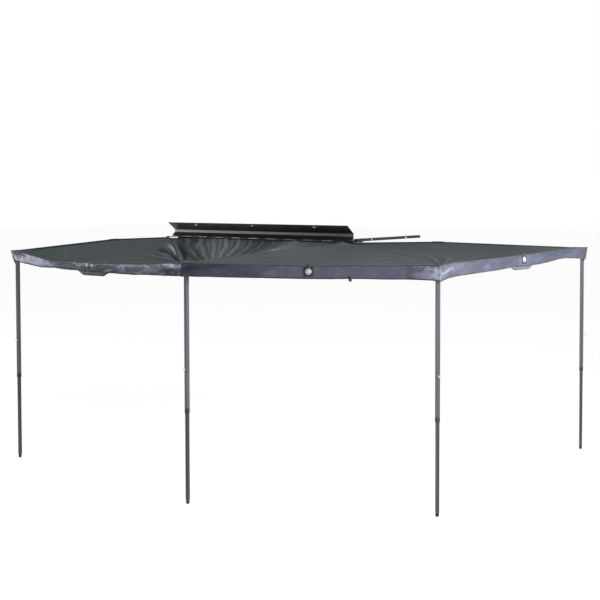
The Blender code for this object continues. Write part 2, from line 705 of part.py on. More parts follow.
def leg_meshes():
    """Upper tube, lower tube, foot and lock plunger, drawn once around the leg's pivot and shared by all legs."""
    half = LEG_OUTER / 2
    bottom = -LEG_UPPER_LENGTH
    head = arc(half, 0, 180, 10)
    body = slab(bmesh.new(), [(-half, bottom), (half, bottom)] + head, -half, half)
    hollow = half - LEG_WALL
    bore = box(bmesh.new(), (-hollow, -hollow, bottom - LEG_WALL), (hollow, hollow, -LEG_HEAD_SOLID))
    hole_radius = LEG_PIN_RADIUS + PIN_CLEARANCE
    pin_hole = turned(bmesh.new(), ((hole_radius, -LEG_OUTER), (hole_radius, LEG_OUTER)), 12, "Y")
    lock_radius = LOCK_PIN_RADIUS + PIN_CLEARANCE
    lock_hole_profile = ((lock_radius, half - 2 * LEG_WALL), (lock_radius, half + LEG_WALL))
    lock_hole = turned(bmesh.new(), lock_hole_profile, 10, "X", (0, 0, bottom + LOCK_ABOVE_UPPER_END))
    upper = combined("leg_upper", [body], [bore, pin_hole, lock_hole], leg_grey())
    lower = new_object("leg_lower", square_tube(bmesh.new(), LOWER_OUTER, LOWER_OUTER - 2 * LOWER_WALL, 0.0,
                                                LOWER_LENGTH), leg_grey())
    foot_profile = (
        (FOOT_RADIUS * 0.72, 0.0),
        (FOOT_RADIUS, FOOT_HEIGHT * 0.22),
        (FOOT_RADIUS, FOOT_HEIGHT * 0.8),
        (LOWER_OUTER / 2, FOOT_HEIGHT - GAP),
        (SPIGOT_RADIUS, FOOT_HEIGHT - GAP),
        (SPIGOT_RADIUS, FOOT_HEIGHT + SPIGOT_HEIGHT),
    )
    foot = new_object("leg_foot", turned(bmesh.new(), foot_profile, 14), moulded_black())
    inner_face = LOWER_OUTER / 2 + GAP
    plunger_profile = (
        (LOCK_PIN_RADIUS, inner_face),
        (LOCK_PIN_RADIUS, half + GAP),
        (LOCK_HEAD_RADIUS, half + GAP),
        (LOCK_HEAD_RADIUS, half + GAP + LOCK_HEAD),
    )
    plunger = turned(bmesh.new(), plunger_profile, 10, "X")
    wire = ring(bmesh.new(), (half + LOCK_HEAD / 2 + RING_RADIUS, 0.0, 0.0), RING_RADIUS, RING_WIRE)
    lock = combined("leg_lock", [plunger, wire], [], bright_steel())
    meshes = {}
    for key, item in (("upper", upper), ("lower", lower), ("foot", foot), ("lock", lock)):
        meshes[key] = item.data
        bpy.data.objects.remove(item, do_unlink=True)
    return meshes


def build_leg(number, meshes):
    arm, place, turn = arm_frame(number)
    reach = arm["reach"]
    pivot = Vector(place) + Matrix.Rotation(turn, 3, "Z") @ Vector((reach, 0.0, 0.0))
    pivot.z += arm_height(arm, reach) - LEG_PIVOT_BELOW_ARM_CENTRE
    place_mesh(f"leg_{number}_upper_tube", meshes["upper"], leg_grey(), pivot, turn)
    lock = (pivot.x, pivot.y, pivot.z - LEG_UPPER_LENGTH + LOCK_ABOVE_UPPER_END)
    place_mesh(f"leg_{number}_lock_plunger", meshes["lock"], bright_steel(), lock, turn)
    ground = (pivot.x, pivot.y, GROUND)
    above = (pivot.x, pivot.y, GROUND + FOOT_HEIGHT)
    place_mesh(f"leg_{number}_lower_tube", meshes["lower"], leg_grey(), above, turn)
    place_mesh(f"leg_{number}_foot", meshes["foot"], moulded_black(), ground, turn)


def build_bar():
    """Square bar bolted on the hub bracket, reaching across the vehicle's rear."""
    x = HUB.x - BAR_OFFSET
    top_of_plate = bracket_span(1)[1] + GAP
    section = [(-BAR_WIDTH / 2, 0.0), (BAR_WIDTH / 2, 0.0), (BAR_WIDTH / 2, BAR_HEIGHT), (-BAR_WIDTH / 2, BAR_HEIGHT)]
    w, t = BAR_WIDTH / 2, BAR_WALL
    hollow = [(-w + t, t), (w - t, t), (w - t, BAR_HEIGHT - t), (-w + t, BAR_HEIGHT - t)]
    bar = sweep(bmesh.new(), section, ((0.0, 0.0), (BAR_LENGTH, 0.0)))
    bore = sweep(bmesh.new(), hollow, ((-t, 0.0), (BAR_LENGTH + t, 0.0)))
    quarter = math.radians(-90)
    place = (x, HUB.y + BAR_START, top_of_plate)
    z = BAR_HEIGHT / 2
    radius = BAR_BOLT_RADIUS + PIN_CLEARANCE
    side_hole = ((radius, -BAR_WIDTH), (radius, BAR_WIDTH))
    holes = [turned(bmesh.new(), side_hole, 12, "Y", (along, 0.0, z)) for along in BAR_BOLT_PLACES]
    foot_hole = ((radius, -BAR_HEIGHT), (radius, BAR_HEIGHT * 2))
    holes.append(turned(bmesh.new(), foot_hole, 12, "Z", (BAR_FOOT_BOLT, 0.0, 0.0)))
    combined("rear_bar", [bar], [bore] + holes, case_black(), place, quarter)
    face = w + GAP
    side_bolt = (
        (BAR_KNOB_RADIUS, -face - BAR_KNOB),
        (BAR_KNOB_RADIUS, -face),
        (BAR_BOLT_RADIUS, -face),
        (BAR_BOLT_RADIUS, face),
        (BAR_KNOB_RADIUS, face),
        (BAR_KNOB_RADIUS, face + BAR_KNOB),
    )
    bolt = turned(bmesh.new(), side_bolt, 14, "Y", (BAR_BOLT_PLACES[0], 0.0, z))
    smooth_round(new_object("rear_bar_bolt", bolt, bright_steel(), place, quarter))
    under_plate = -GAP - PLATE - GAP
    foot_bolt = (
        (BAR_NUT_RADIUS, under_plate - BAR_BOLT_RADIUS),
        (BAR_NUT_RADIUS, under_plate),
        (BAR_BOLT_RADIUS, under_plate),
        (BAR_BOLT_RADIUS, BAR_HEIGHT + GAP),
        (BAR_NUT_RADIUS, BAR_HEIGHT + GAP),
        (BAR_NUT_RADIUS, BAR_HEIGHT + BAR_BOLT_RADIUS),
    )
    bolt = turned(bmesh.new(), foot_bolt, 14, "Z", (BAR_FOOT_BOLT, 0.0, 0.0))
    smooth_round(new_object("rear_bar_foot_bolt", bolt, bright_steel(), place, quarter))


def arm_point(number, along, side, lift):
    """A point beside or over an arm, in the part's frame: side is to the left, looking out along the arm."""
    arm, place, turn = arm_frame(number)
    local = Vector((along, side, arm_height(arm, along) + lift))
    return Vector(place) + Matrix.Rotation(turn, 3, "Z") @ local


def stations(number):
    """Distances along an arm where the cloth has its rows; the saddle's ends and middle are among them."""
    arm = ARMS[number]
    knuckle = arm["knuckle"]
    tip = arm["reach"] + CANOPY_OVERHANG
    near = [CANOPY_START + (knuckle - SADDLE_HALF_LENGTH - CANOPY_START) * k / 3 for k in range(4)]
    first_far = knuckle + SADDLE_HALF_LENGTH
    far = [first_far + (tip - first_far) * k / 5 for k in range(6)]
    return near + [knuckle] + far


def row_share(row):
    """Share of the way out for a row, the same spacing as on arm 2."""
    places = stations(2)
    return (places[row] - places[0]) / (places[-1] - places[0])


def upper_edge(number, side, row):
    """Cloth edge in the rail beside an upper arm."""
    along = stations(number)[row]
    return arm_point(number, along, side * (ARM_WIDTH / 2 + SIDE_ATTACH_GAP), SIDE_ATTACH_ABOVE_CENTRE)


def ridge_lift(number, along):
    """Height of the cloth over a lower arm's centre line: it comes down from the hub to the saddle, then up."""
    arm = ARMS[number]
    knuckle = arm["knuckle"]
    over = ARM_HEIGHT / 2 + CLOTH + CLOTH_GAP
    hub_lift = LEVEL_STEP + SIDE_ATTACH_ABOVE_CENTRE
    knuckle_lift = over + SADDLE_WALL + GAP
    tip_lift = over + CORNER_POST
    if along < knuckle:
        return hub_lift + (knuckle_lift - hub_lift) * along / knuckle
    share = min((along - knuckle) / (arm["reach"] + ARM_OVERRUN - knuckle), 1.0)
    return knuckle_lift + (tip_lift - knuckle_lift) * share


def ridge_edge(number, side, row):
    """Cloth edge on the top of a lower arm, at its centre line."""
    along = stations(number)[row]
    return arm_point(number, along, side * SEAM_GAP, ridge_lift(number, along))


def height_over_arm(number, point):
    """Height of the cloth where it lies on a lower arm beside its centre line."""
    arm, place, turn = arm_frame(number)
    along = (point.x - place[0]) * math.cos(turn) + (point.y - place[1]) * math.sin(turn)
    return place[2] + arm_height(arm, along) + ridge_lift(number, along)


def case_edge(share):
    """Cloth edge along the case, from the hub to the front pivot."""
    z = CASE_TOP - CASE_EDGE_BELOW_TOP
    start = Vector((HUB.x + CANOPY_START, HINGE_Y + CASE_EDGE_FORWARD, z))
    end = Vector((FRONT_HUB.x - CANOPY_START / 2, FRONT_HUB.y + CASE_EDGE_FORWARD, z))
    return start.lerp(end, share)


def crease(share, side):
    """Seam from the front pivot to the corner over arm 2, slack in the middle."""
    start = case_edge(1.0)
    end = ridge_edge(2, 0, -1)
    across = (end - start).normalized().cross(Vector((0, 0, 1)))
    point = start.lerp(end, share) + across * side * SEAM_GAP
    point.z -= CREASE_SAG * math.sin(math.pi * share)
    return point


def flat_share(number, here, there):
    """Share of the way from a point over an arm to another point where the cloth leaves the arm's top."""
    arm, place, turn = arm_frame(number)
    across = Vector((-math.sin(turn), math.cos(turn)))
    width = abs((there - here).xy.dot(across))
    return min(FLAT_OVER_ARM / max(width, FLAT_OVER_ARM), 0.30)


def panel_grid(edges, columns, sag, arms, extra=None):
    """Points of a panel, row by row from the hub out, between its first and its last edge.

    Over an arm the cloth lies level on the arm's top before it sags. The arms are those under the two edges.
    """
    grid = []
    rows = len(stations(2))
    for i in range(rows):
        s = row_share(i)
        a, b = edges[0](i), edges[1](i)
        low = flat_share(arms[0], a, b) if arms[0] else 0.0
        high = 1.0 - (flat_share(arms[1], b, a) if arms[1] else 0.0)
        shares = [low + (high - low) * k / columns for k in range(columns + 1)]
        if arms[0]:
            shares.insert(0, 0.0)
        if arms[1]:
            shares.append(1.0)
        near_z = height_over_arm(arms[0], a.lerp(b, low)) if arms[0] else a.z
        far_z = height_over_arm(arms[1], a.lerp(b, high)) if arms[1] else b.z
        row = []
        for w in shares:
            point = a.lerp(b, w)
            inside = (w - low) / (high - low)
            if 0.0 <= inside <= 1.0:
                bow = math.sin(math.pi * inside)
                point.z = near_z + (far_z - near_z) * inside - sag(s) * bow
                if extra:
                    point.z += extra(point) * bow * math.sin(math.pi * s)
            row.append(point)
        grid.append(row)
    return grid


def pull_in(grid, amount):
    """The outer edge of a panel curves in between its corners."""
    edge = grid[-1]
    start, end = edge[0].copy(), edge[-1].copy()
    inward = (grid[0][0] - (start + end) / 2).normalized()
    inward.z = 0.0
    for point in edge:
        share = (point - start).length / (end - start).length
        point += inward * amount * 4 * share * max(1 - share, 0.0)


def hang_valance(grid):
    """Rows of points hanging from the panel's outer edge, flaring out a little."""
    edge = [point.copy() for point in grid[-1]]
    start, end = edge[0], edge[-1]
    straight = (end - start).normalized()
    out = Vector((0, 0, 1)).cross(straight)
    if out.dot(start - grid[0][0]) < 0:
        out = -out
    for drop, flare in VALANCE_ROWS:
        row = []
        for point in edge:
            share = (point - start).length / (end - start).length
            away = flare * min(4 * share * max(1 - share, 0.0) + 0.25, 1.0)
            row.append(point + out * away - Vector((0.0, 0.0, VALANCE_DROP * drop)))
        grid.append(row)


def cloth_object(name, grid, origin, finish):
    """One sheet from a grid of points, given its thickness below and behind."""
    bm = bmesh.new()
    rows = [[bm.verts.new(point - origin) for point in row] for row in grid]
    for near, far in zip(rows, rows[1:]):
        for i in range(len(near) - 1):
            bm.faces.new((near[i], near[i + 1], far[i + 1], far[i]))
    bm.normal_update()
    if sum(face.normal.z for face in bm.faces) < 0:
        bmesh.ops.reverse_faces(bm, faces=bm.faces)
    mesh = bpy.data.meshes.new(name)
    bm.to_mesh(mesh)
    bm.free()
    made = place_mesh(name, mesh, finish, origin)
    thick = made.modifiers.new("thickness", "SOLIDIFY")
    thick.thickness = CLOTH
    thick.offset = -1.0
    made.data.shade_smooth()
    return made


def slack_folds(point):
    """Folds that fan out over the slack cloth from the corner over arm 2."""
    corner = ridge_edge(2, 0, -1)
    angle = math.atan2(corner.y - point.y, point.x - corner.x)
    return FOLD_HEIGHT * math.cos(angle * FOLD_COUNT)


def build_canopy():
    case_rows = (lambda i: case_edge(row_share(i)), lambda i: ridge_edge(2, -1, i))
    case = panel_grid(case_rows, 12, lambda s: CREASE_SAG * s, (None, 2), slack_folds)
    across = Vector((0, 0, 1)).cross(crease(1.0, 0) - crease(0.0, 0)).normalized()
    for point in case[-1]:
        point.xy = (point + across * SEAM_GAP).xy
    cloth_object("canopy_case_panel", case, Vector(), canopy_grey())
    side_edges = (lambda i: ridge_edge(2, 1, i), lambda i: ridge_edge(3, -1, i))
    rear_edges = (lambda i: ridge_edge(3, 1, i), lambda i: upper_edge(4, -1, i))
    front_edges = (lambda i: crease(row_share(i), 1), lambda i: upper_edge(1, 1, i))
    for name, edges, arms, origin, edge_sag in (
        ("side", side_edges, (2, 3), HUB, SIDE_EDGE_SAG),
        ("rear", rear_edges, (3, None), OUTER_HUB, REAR_EDGE_SAG),
        ("front", front_edges, (None, None), FRONT_HUB, FRONT_EDGE_SAG),
    ):
        grid = panel_grid(edges, 9, lambda s: PANEL_SAG * math.sin(math.pi * s) + edge_sag * s * s, arms)
        pull_in(grid, EDGE_CURVE)
        hang_valance(grid)
        cloth_object(f"canopy_{name}_panel", grid, origin, canopy_grey())


def build():
    clear_scene()
    build_case()
    build_mounts()
    build_pivots()
    build_hinge_rod()
    build_lid()
    build_bar()
    meshes = leg_meshes()
    for number in ARMS:
        build_arm(number)
        build_leg(number, meshes)
    build_canopy()
    bpy.context.view_layer.update()


build()
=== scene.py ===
import math

import bmesh
import bpy
from mathutils import Matrix, Vector, noise


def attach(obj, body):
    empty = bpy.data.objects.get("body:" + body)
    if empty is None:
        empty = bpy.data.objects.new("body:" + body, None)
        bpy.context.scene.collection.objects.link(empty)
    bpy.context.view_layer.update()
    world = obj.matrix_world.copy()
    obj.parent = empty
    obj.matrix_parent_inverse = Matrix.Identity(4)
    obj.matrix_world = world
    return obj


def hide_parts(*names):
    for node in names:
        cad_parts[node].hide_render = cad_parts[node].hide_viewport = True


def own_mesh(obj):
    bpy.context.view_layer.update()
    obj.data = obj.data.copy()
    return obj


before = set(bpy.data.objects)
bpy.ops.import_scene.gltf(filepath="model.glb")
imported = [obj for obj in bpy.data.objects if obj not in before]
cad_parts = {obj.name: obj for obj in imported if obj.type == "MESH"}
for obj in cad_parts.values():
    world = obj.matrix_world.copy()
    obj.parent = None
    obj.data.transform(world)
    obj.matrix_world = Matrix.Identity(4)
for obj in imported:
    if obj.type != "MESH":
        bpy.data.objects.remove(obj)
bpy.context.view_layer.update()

# Case base and its brackets. The base is one long aluminium extrusion with a satin black powder coat, open to
# the front. Folded and coated steel brackets bolt into T-slots in its back, and a plate at each end carries the
# arms' pins. The coat is slightly pebbled, dusty on top and rubbed thin along the edges.


class Level:
    """A number that changes over a surface; sums and products of levels add Math nodes."""

    def __init__(self, finish, socket):
        self.finish = finish
        self.socket = socket

    def maths(self, operation, *others):
        return self.finish.level("Math", {"operation": operation}, dict(enumerate((self, *others))))

    def __add__(self, other):
        return self.maths("ADD", other)

    def __sub__(self, other):
        return self.maths("SUBTRACT", other)

    def __mul__(self, other):
        return self.maths("MULTIPLY", other)

    def __rsub__(self, other):
        return self.maths("MULTIPLY", -1.0) + other

    __radd__ = __add__
    __rmul__ = __mul__

    def over(self, low, high):
        """0 where the level is low, 1 where it is high, and a smooth step between."""
        settings = {"interpolation_type": "SMOOTHSTEP"}
        return self.finish.level("MapRange", settings, {"Value": self, "From Min": low, "From Max": high})


def feed(tree, socket, value):
    """Gives a socket a level, a link or a plain value; a plain colour may leave out its alpha."""
    if isinstance(value, Level):
        value = value.socket
    if isinstance(value, bpy.types.NodeSocket):
        tree.links.new(value, socket)
    elif socket.type == "RGBA" and len(value) == 3:
        socket.default_value = (*value, 1.0)
    else:
        socket.default_value = value


def add_node(tree, kind, settings=None, sockets=None):
    """Adds a node to the tree of a material, of a shape or of the world."""
    made = tree.nodes.new(kind)
    for key, value in (settings or {}).items():
        setattr(made, key, value)
    for key, value in (sockets or {}).items():
        feed(tree, made.inputs[key], value)
    return made


class Finish:
    """One material, with a single way to add a node to it."""

    def __init__(self, name, roughness, metallic=0.0, specular=0.5, sheen=0.0, space="Object"):
        self.material = bpy.data.materials.new(name)
        self.material.use_nodes = True
        self.tree = self.material.node_tree
        self.shader = self.tree.nodes["Principled BSDF"]
        self.set_shader({
            "Roughness": roughness,
            "Metallic": metallic,
            "Specular IOR Level": specular,
            "Sheen Weight": sheen,
        })
        self.place = self.node("TexCoord").outputs[space]
        self.height = None
        self.rounded = None

    def set_shader(self, values):
        """Feeds the shader's inputs; those without a value keep what they have."""
        for key, value in values.items():
            if value is not None:
                feed(self.tree, self.shader.inputs[key], value)

    def node(self, kind, settings=None, sockets=None):
        return add_node(self.tree, "ShaderNode" + kind, settings, sockets)

    def level(self, kind, settings=None, sockets=None, output=0):
        return Level(self, self.node(kind, settings, sockets).outputs[output])

    def spot(self, stretch=(1, 1, 1)):
        """The place on the piece, stretched to make a pattern longer one way."""
        return self.node("Mapping", None, {"Vector": self.place, "Scale": stretch}).outputs[0]

    def noise(self, scale, detail=2.0, rough=0.5, stretch=(1, 1, 1), warp=0.0):
        sockets = {"Vector": self.spot(stretch), "Scale": scale, "Detail": detail, "Roughness": rough}
        return self.level("TexNoise", None, {**sockets, "Distortion": warp})

    def cells(self, scale):
        return self.level("TexVoronoi", None, {"Vector": self.spot(), "Scale": scale})

    def axis(self, which, vector=None):
        """One coordinate of the place, or of another vector."""
        return self.level("SeparateXYZ", None, {0: vector or self.place}, "XYZ".index(which))

    def blend(self, mask, first, second):
        """A colour that goes from the first to the second as the mask goes from 0 to 1."""
        return self.node("Mix", {"data_type": "RGBA"}, {0: mask, 6: first, 7: second}).outputs[2]

    def raise_by(self, level, metres):
        """Adds to the height that the bump node reads, in metres."""
        height = level * metres
        self.height = height if self.height is None else self.height + height

    def edges(self, radius):
        """1 on the sharp edges, 0 on the faces; the edges are rounded for the light as well."""
        self.rounded = self.node("Bevel", {"samples": 4}, {"Radius": radius}).outputs[0]
        face = self.node("NewGeometry").outputs["Normal"]
        turned = self.node("VectorMath", {"operation": "DOT_PRODUCT"}, {0: self.rounded, 1: face})
        return (1.0 - Level(self, turned.outputs["Value"])).over(0.02, 0.30)

    def done(self, colour, roughness=None, metallic=None):
        normal = self.rounded
        if self.height is not None:
            sockets = {"Height": self.height, "Distance": 1.0, "Strength": 1.0}
            if normal is not None:
                sockets["Normal"] = normal
            normal = self.node("Bump", None, sockets).outputs[0]
        self.set_shader({"Base Color": colour, "Roughness": roughness, "Metallic": metallic, "Normal": normal})
        return self.material


def shade(colour, factor):
    return tuple(value * factor for value in colour)


def powder_coat(name, colour, worn, dust, roughness):
    """Black coat on metal: pebbled, dusty on top, with fine scuffs along the piece and rubbed edges."""
    finish = Finish(name, roughness, 0.0, 0.30)
    rubbed = finish.edges(0.0012) * finish.noise(38.0, 3.0, 0.6).over(0.42, 0.62)
    patches = finish.noise(5.0, 4.0, 0.6)
    scuffs = finish.noise(220.0, 3.0, 0.7, (0.04, 1.0, 1.0)).over(0.60, 0.72) * finish.noise(7.0).over(0.48, 0.62)
    upward = finish.axis("Z", finish.node("NewGeometry").outputs["Normal"]).over(0.35, 0.95)
    dusty = upward * finish.noise(14.0, 5.0, 0.65).over(0.40, 0.70) * 0.5
    tone = finish.blend(patches.over(0.3, 0.7), colour, shade(colour, 1.45))
    tone = finish.blend(dusty + scuffs * 0.25, tone, dust)
    tone = finish.blend(rubbed * 0.8, tone, worn)
    finish.raise_by(finish.noise(1400.0, 1.0), 0.00005)
    finish.raise_by(rubbed, -0.00004)
    gloss = patches * 0.14 + dusty * 0.5 + scuffs * 0.12 + (roughness - 0.07)
    return finish.done(tone, gloss, rubbed * 0.7)


def dress(finish, *nodes):
    """Gives nodes of the part their finish, on every material slot that they have."""
    for node in nodes:
        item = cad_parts[node]
        for place in item.material_slots:
            place.material = finish
        if not item.material_slots:
            item.data.materials.append(finish)


BRACKET_PLACES = ("rear", "middle", "front")
case_coat = powder_coat("case_coat", (0.012, 0.0125, 0.014), (0.30, 0.30, 0.31), (0.085, 0.083, 0.08), 0.36)
bracket_coat = powder_coat("bracket_coat", (0.009, 0.009, 0.010), (0.20, 0.20, 0.21), (0.045, 0.044, 0.043), 0.50)
dress(case_coat, "case_base")
dress(bracket_coat, "hub_bracket", "front_bracket", *(f"mount_bracket_{place}" for place in BRACKET_PLACES))

# Pins, bolts, catches and pull rings. They are turned or pressed from zinc-plated steel: bright, with fine
# marks round them and a little grime. The plating of the lid's rod has aged and is duller.

plated = Finish("plated_steel", 0.26, 1.0)
steel_grime = plated.noise(60.0, 4.0, 0.65).over(0.50, 0.75) * (1.0 - plated.edges(0.0006))
steel_tone = plated.blend(plated.noise(25.0, 3.0).over(0.3, 0.7), (0.80, 0.80, 0.81), (0.66, 0.66, 0.67))
plated.raise_by(plated.noise(900.0, 2.0, 0.6), 0.00002)
plated_steel = plated.done(
    plated.blend(steel_grime * 0.55, steel_tone, (0.10, 0.095, 0.09)),
    plated.noise(120.0, 3.0) * 0.12 + steel_grime * 0.25 + 0.20,
)

aged = Finish("aged_steel", 0.46, 1.0)
aged.raise_by(aged.noise(700.0, 3.0, 0.6), 0.00003)
aged_steel = aged.done(
    aged.blend(aged.noise(45.0, 4.0, 0.65).over(0.35, 0.65), (0.44, 0.43, 0.42), (0.20, 0.19, 0.185)),
    aged.noise(90.0, 3.0) * 0.20 + 0.36,
)
dress(aged_steel, "hinge_rod")
dress(plated_steel, "hub_pin", "outer_hub_pin", "front_pin", "rear_bar_bolt", "rear_bar_foot_bolt")
for place in BRACKET_PLACES:
    dress(plated_steel, f"bracket_bolt_{place}", f"lid_catch_{place}")
for number in range(1, 5):
    dress(plated_steel, f"arm_{number}_leg_pin", f"leg_{number}_lock_plunger")

# Lid. One sheet of aluminium folded into a shallow channel with a leaning top flange, hinged along the case's front
# edge and standing open. Same coat as the case; on the upright web a pale band of painted highlight stands in for its
# shine.

LID_HINGE_HEIGHT = 0.113
SHINE_FROM = LID_HINGE_HEIGHT + 0.0415
SHINE_TO = LID_HINGE_HEIGHT + 0.0700
lid_coat = Finish("lid_coat", 0.38, 0.0, 0.45)
lid_worn = lid_coat.edges(0.0015) * lid_coat.noise(30.0, 3.0, 0.6).over(0.40, 0.60)
lid_height = lid_coat.axis("Z")
# Painted highlight: a pale band up the web, stronger towards the lid's front end, stands in for light on the upright
# face.
painted_web_highlight = lid_height.over(SHINE_FROM - 0.002, SHINE_FROM + 0.004) * (1.0 - lid_height.over(SHINE_TO - 0.005, SHINE_TO))
painted_web_highlight = painted_web_highlight * (0.35 + lid_coat.axis("X").over(-1.3, 1.0) * 0.65)
lid_streaks = lid_coat.noise(90.0, 4.0, 0.7, (0.05, 1.0, 1.0))
lid_dust = lid_coat.noise(6.0, 5.0, 0.65).over(0.45, 0.70) * 0.35
lid_tone = lid_coat.blend(lid_coat.noise(4.0, 3.0).over(0.3, 0.7), (0.0085, 0.0085, 0.009), (0.013, 0.013, 0.0135))
lid_tone = lid_coat.blend(lid_dust * lid_streaks.over(0.3, 0.7), lid_tone, (0.05, 0.05, 0.05))
# The painted highlight's pale colour, streaked a little.
lid_tone = lid_coat.blend(painted_web_highlight * (0.75 + lid_streaks * 0.3), lid_tone, (0.60, 0.60, 0.61))
lid_tone = lid_coat.blend(lid_worn * 0.7, lid_tone, (0.33, 0.33, 0.34))
lid_coat.raise_by(lid_coat.noise(1400.0, 1.0), 0.00005)
dress(lid_coat.done(lid_tone, 0.40 + lid_dust * 0.4 - painted_web_highlight * 0.12, lid_worn * 0.6), "lid_shell")

# Hinge seal. A black rubber strip in short lengths along the case's top edge closes most of the gap behind the
# hinge; daylight shows between the lengths.

SEAL_SPANS = ((-1.160, -0.800), (-0.742, -0.045), (0.045, 0.368), (0.442, 0.755), (0.892, 1.036), (1.110, 1.150))
SEAL_SECTION = (
    (0.1262, 0.1166),
    (0.1302, 0.1166),
    (0.1296, 0.1215),
    (0.1304, 0.1252),
    (0.1288, 0.1262),
    (0.1268, 0.1225),
)


def new_object(name, data):
    made = bpy.data.objects.new(name, data)
    bpy.context.scene.collection.objects.link(made)
    return made


def mesh_piece(name, bm, finish, smooth=True):
    """A finished mesh object; its place is in its mesh."""
    mesh = bpy.data.meshes.new(name)
    bm.to_mesh(mesh)
    bm.free()
    mesh.materials.append(finish)
    for face in mesh.polygons:
        face.use_smooth = smooth
    return new_object(name, mesh)


def loft(bm, rings, closed=False):
    """A skin over rings of points; it is capped at both ends, or else its last ring joins its first."""
    rings = [[bm.verts.new(point) for point in ring] for ring in rings]
    if closed:
        rings.append(rings[0])
    for near, far in zip(rings, rings[1:]):
        for k in range(len(near)):
            after = (k + 1) % len(near)
            bm.faces.new((near[k], near[after], far[after], far[k]))
    if not closed:
        bm.faces.new(rings[0])
        bm.faces.new(rings[-1])
    bmesh.ops.recalc_face_normals(bm, faces=bm.faces)


def fasten(piece, body):
    """The piece moves with a body."""
    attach(piece, body)


bm = bmesh.new()
for span in SEAL_SPANS:
    loft(bm, [[(x, y, z) for y, z in SEAL_SECTION] for x in span])
rubber = Finish("seal_rubber", 0.7, 0.0, 0.3)
rubber.raise_by(rubber.noise(500.0, 3.0), 0.0001)
rubber_tone = rubber.blend(rubber.noise(30.0, 4.0).over(0.35, 0.7), (0.010, 0.010, 0.010), (0.030, 0.030, 0.030))
fasten(mesh_piece("hinge_seal", bm, rubber.done(rubber_tone), False), "root")

# Arms. Four folding ribs of U-shaped aluminium channel, black coated, in two lengths joined by a riveted saddle
# so that they rise to the saddle and fall away to the corners. Plastic caps close their ends, and the rivets are
# plain aluminium with domed heads.

ARM_SIDE = 0.017
ARM_OVERRUN = 0.030
SADDLE_HALF = 0.0195
SADDLE_RISE = 0.007
CORNER_FALL = 0.059
SADDLE_RIVETS = (-0.036, -0.016, 0.016, 0.036)
SADDLE_RIVET_LIFT = -0.002
CAP_RIVET_INSET = 0.006
CAP_RIVET_LIFT = 0.003
RIVET_RADIUS = 0.0034
RIVET_HEIGHT = 0.0016
RIVET_GAP = 0.0001
ARMS = {
    1: dict(pin=(1.190, 0.1748, 0.086), reach=2.000, knuckle=0.800, angle=93.5),
    2: dict(pin=(-1.185, 0.0928, 0.053), reach=2.085, knuckle=0.800, angle=87.5),
    3: dict(pin=(-1.221, 0.1338, 0.053), reach=1.909, knuckle=0.735, angle=144.2),
    4: dict(pin=(-1.185, 0.0928, 0.086), reach=2.150, knuckle=0.800, angle=218.9),
}

arm_coat = powder_coat("arm_coat", (0.010, 0.010, 0.011), (0.26, 0.26, 0.27), (0.07, 0.069, 0.066), 0.42)
moulded = Finish("moulded_nylon", 0.52, 0.0, 0.4)
moulded_edge = moulded.edges(0.0008)
moulded.raise_by(moulded.cells(900.0), 0.00008)
moulded_black = moulded.done(
    moulded.blend(
        moulded.noise(45.0, 4.0).over(0.35, 0.7) * 0.6 + moulded_edge * 0.3,
        (0.012, 0.012, 0.013),
        (0.04, 0.04, 0.042),
    ),
    moulded.noise(60.0, 2.0) * 0.2 + 0.44,
)
alloy = Finish("rivet_alloy", 0.34, 1.0)
alloy.raise_by(alloy.noise(700.0, 2.0), 0.00002)
rivet_alloy = alloy.done(
    alloy.blend(alloy.noise(90.0, 3.0).over(0.35, 0.7), (0.42, 0.42, 0.43), (0.24, 0.24, 0.25)),
    alloy.noise(200.0, 2.0) * 0.2 + 0.26,
)
for number in ARMS:
    dress(arm_coat, *(f"arm_{number}_{part}" for part in ("inner", "outer", "knuckle")))
    dress(moulded_black, f"arm_{number}_end_cap")


def arm_rise(number, along):
    """Height of an arm's centre line over its root: up to the saddle, then down to the corner."""
    arm = ARMS[number]
    if along < arm["knuckle"]:
        return SADDLE_RISE * along / arm["knuckle"]
    return SADDLE_RISE - CORNER_FALL * (along - arm["knuckle"]) / (arm["reach"] - arm["knuckle"])


def arm_turn(number):
    return Matrix.Rotation(math.radians(ARMS[number]["angle"]), 3, "Z")


def arm_point(number, along, side, lift):
    """A point beside or over an arm; side is to the left, looking out along the arm."""
    local = Vector((along, side, arm_rise(number, along) + lift))
    return Vector(ARMS[number]["pin"]) + arm_turn(number) @ local


def arm_ways(number):
    """The arm's direction and the direction to its left."""
    angle = math.radians(ARMS[number]["angle"])
    return Vector((math.cos(angle), math.sin(angle), 0.0)), Vector((-math.sin(angle), math.cos(angle), 0.0))


def node_tree(name, inputs):
    """An empty Geometry Nodes tree with named inputs, given as name: (kind, default)."""
    tree = bpy.data.node_groups.new(name, "GeometryNodeTree")
    tree.interface.new_socket("Geometry", in_out="INPUT", socket_type="NodeSocketGeometry")
    tree.interface.new_socket("Geometry", in_out="OUTPUT", socket_type="NodeSocketGeometry")
    for key, (kind, default) in inputs.items():
        made = tree.interface.new_socket(key, in_out="INPUT", socket_type="NodeSocket" + kind)
        if default is not None:
            made.default_value = default
    return tree


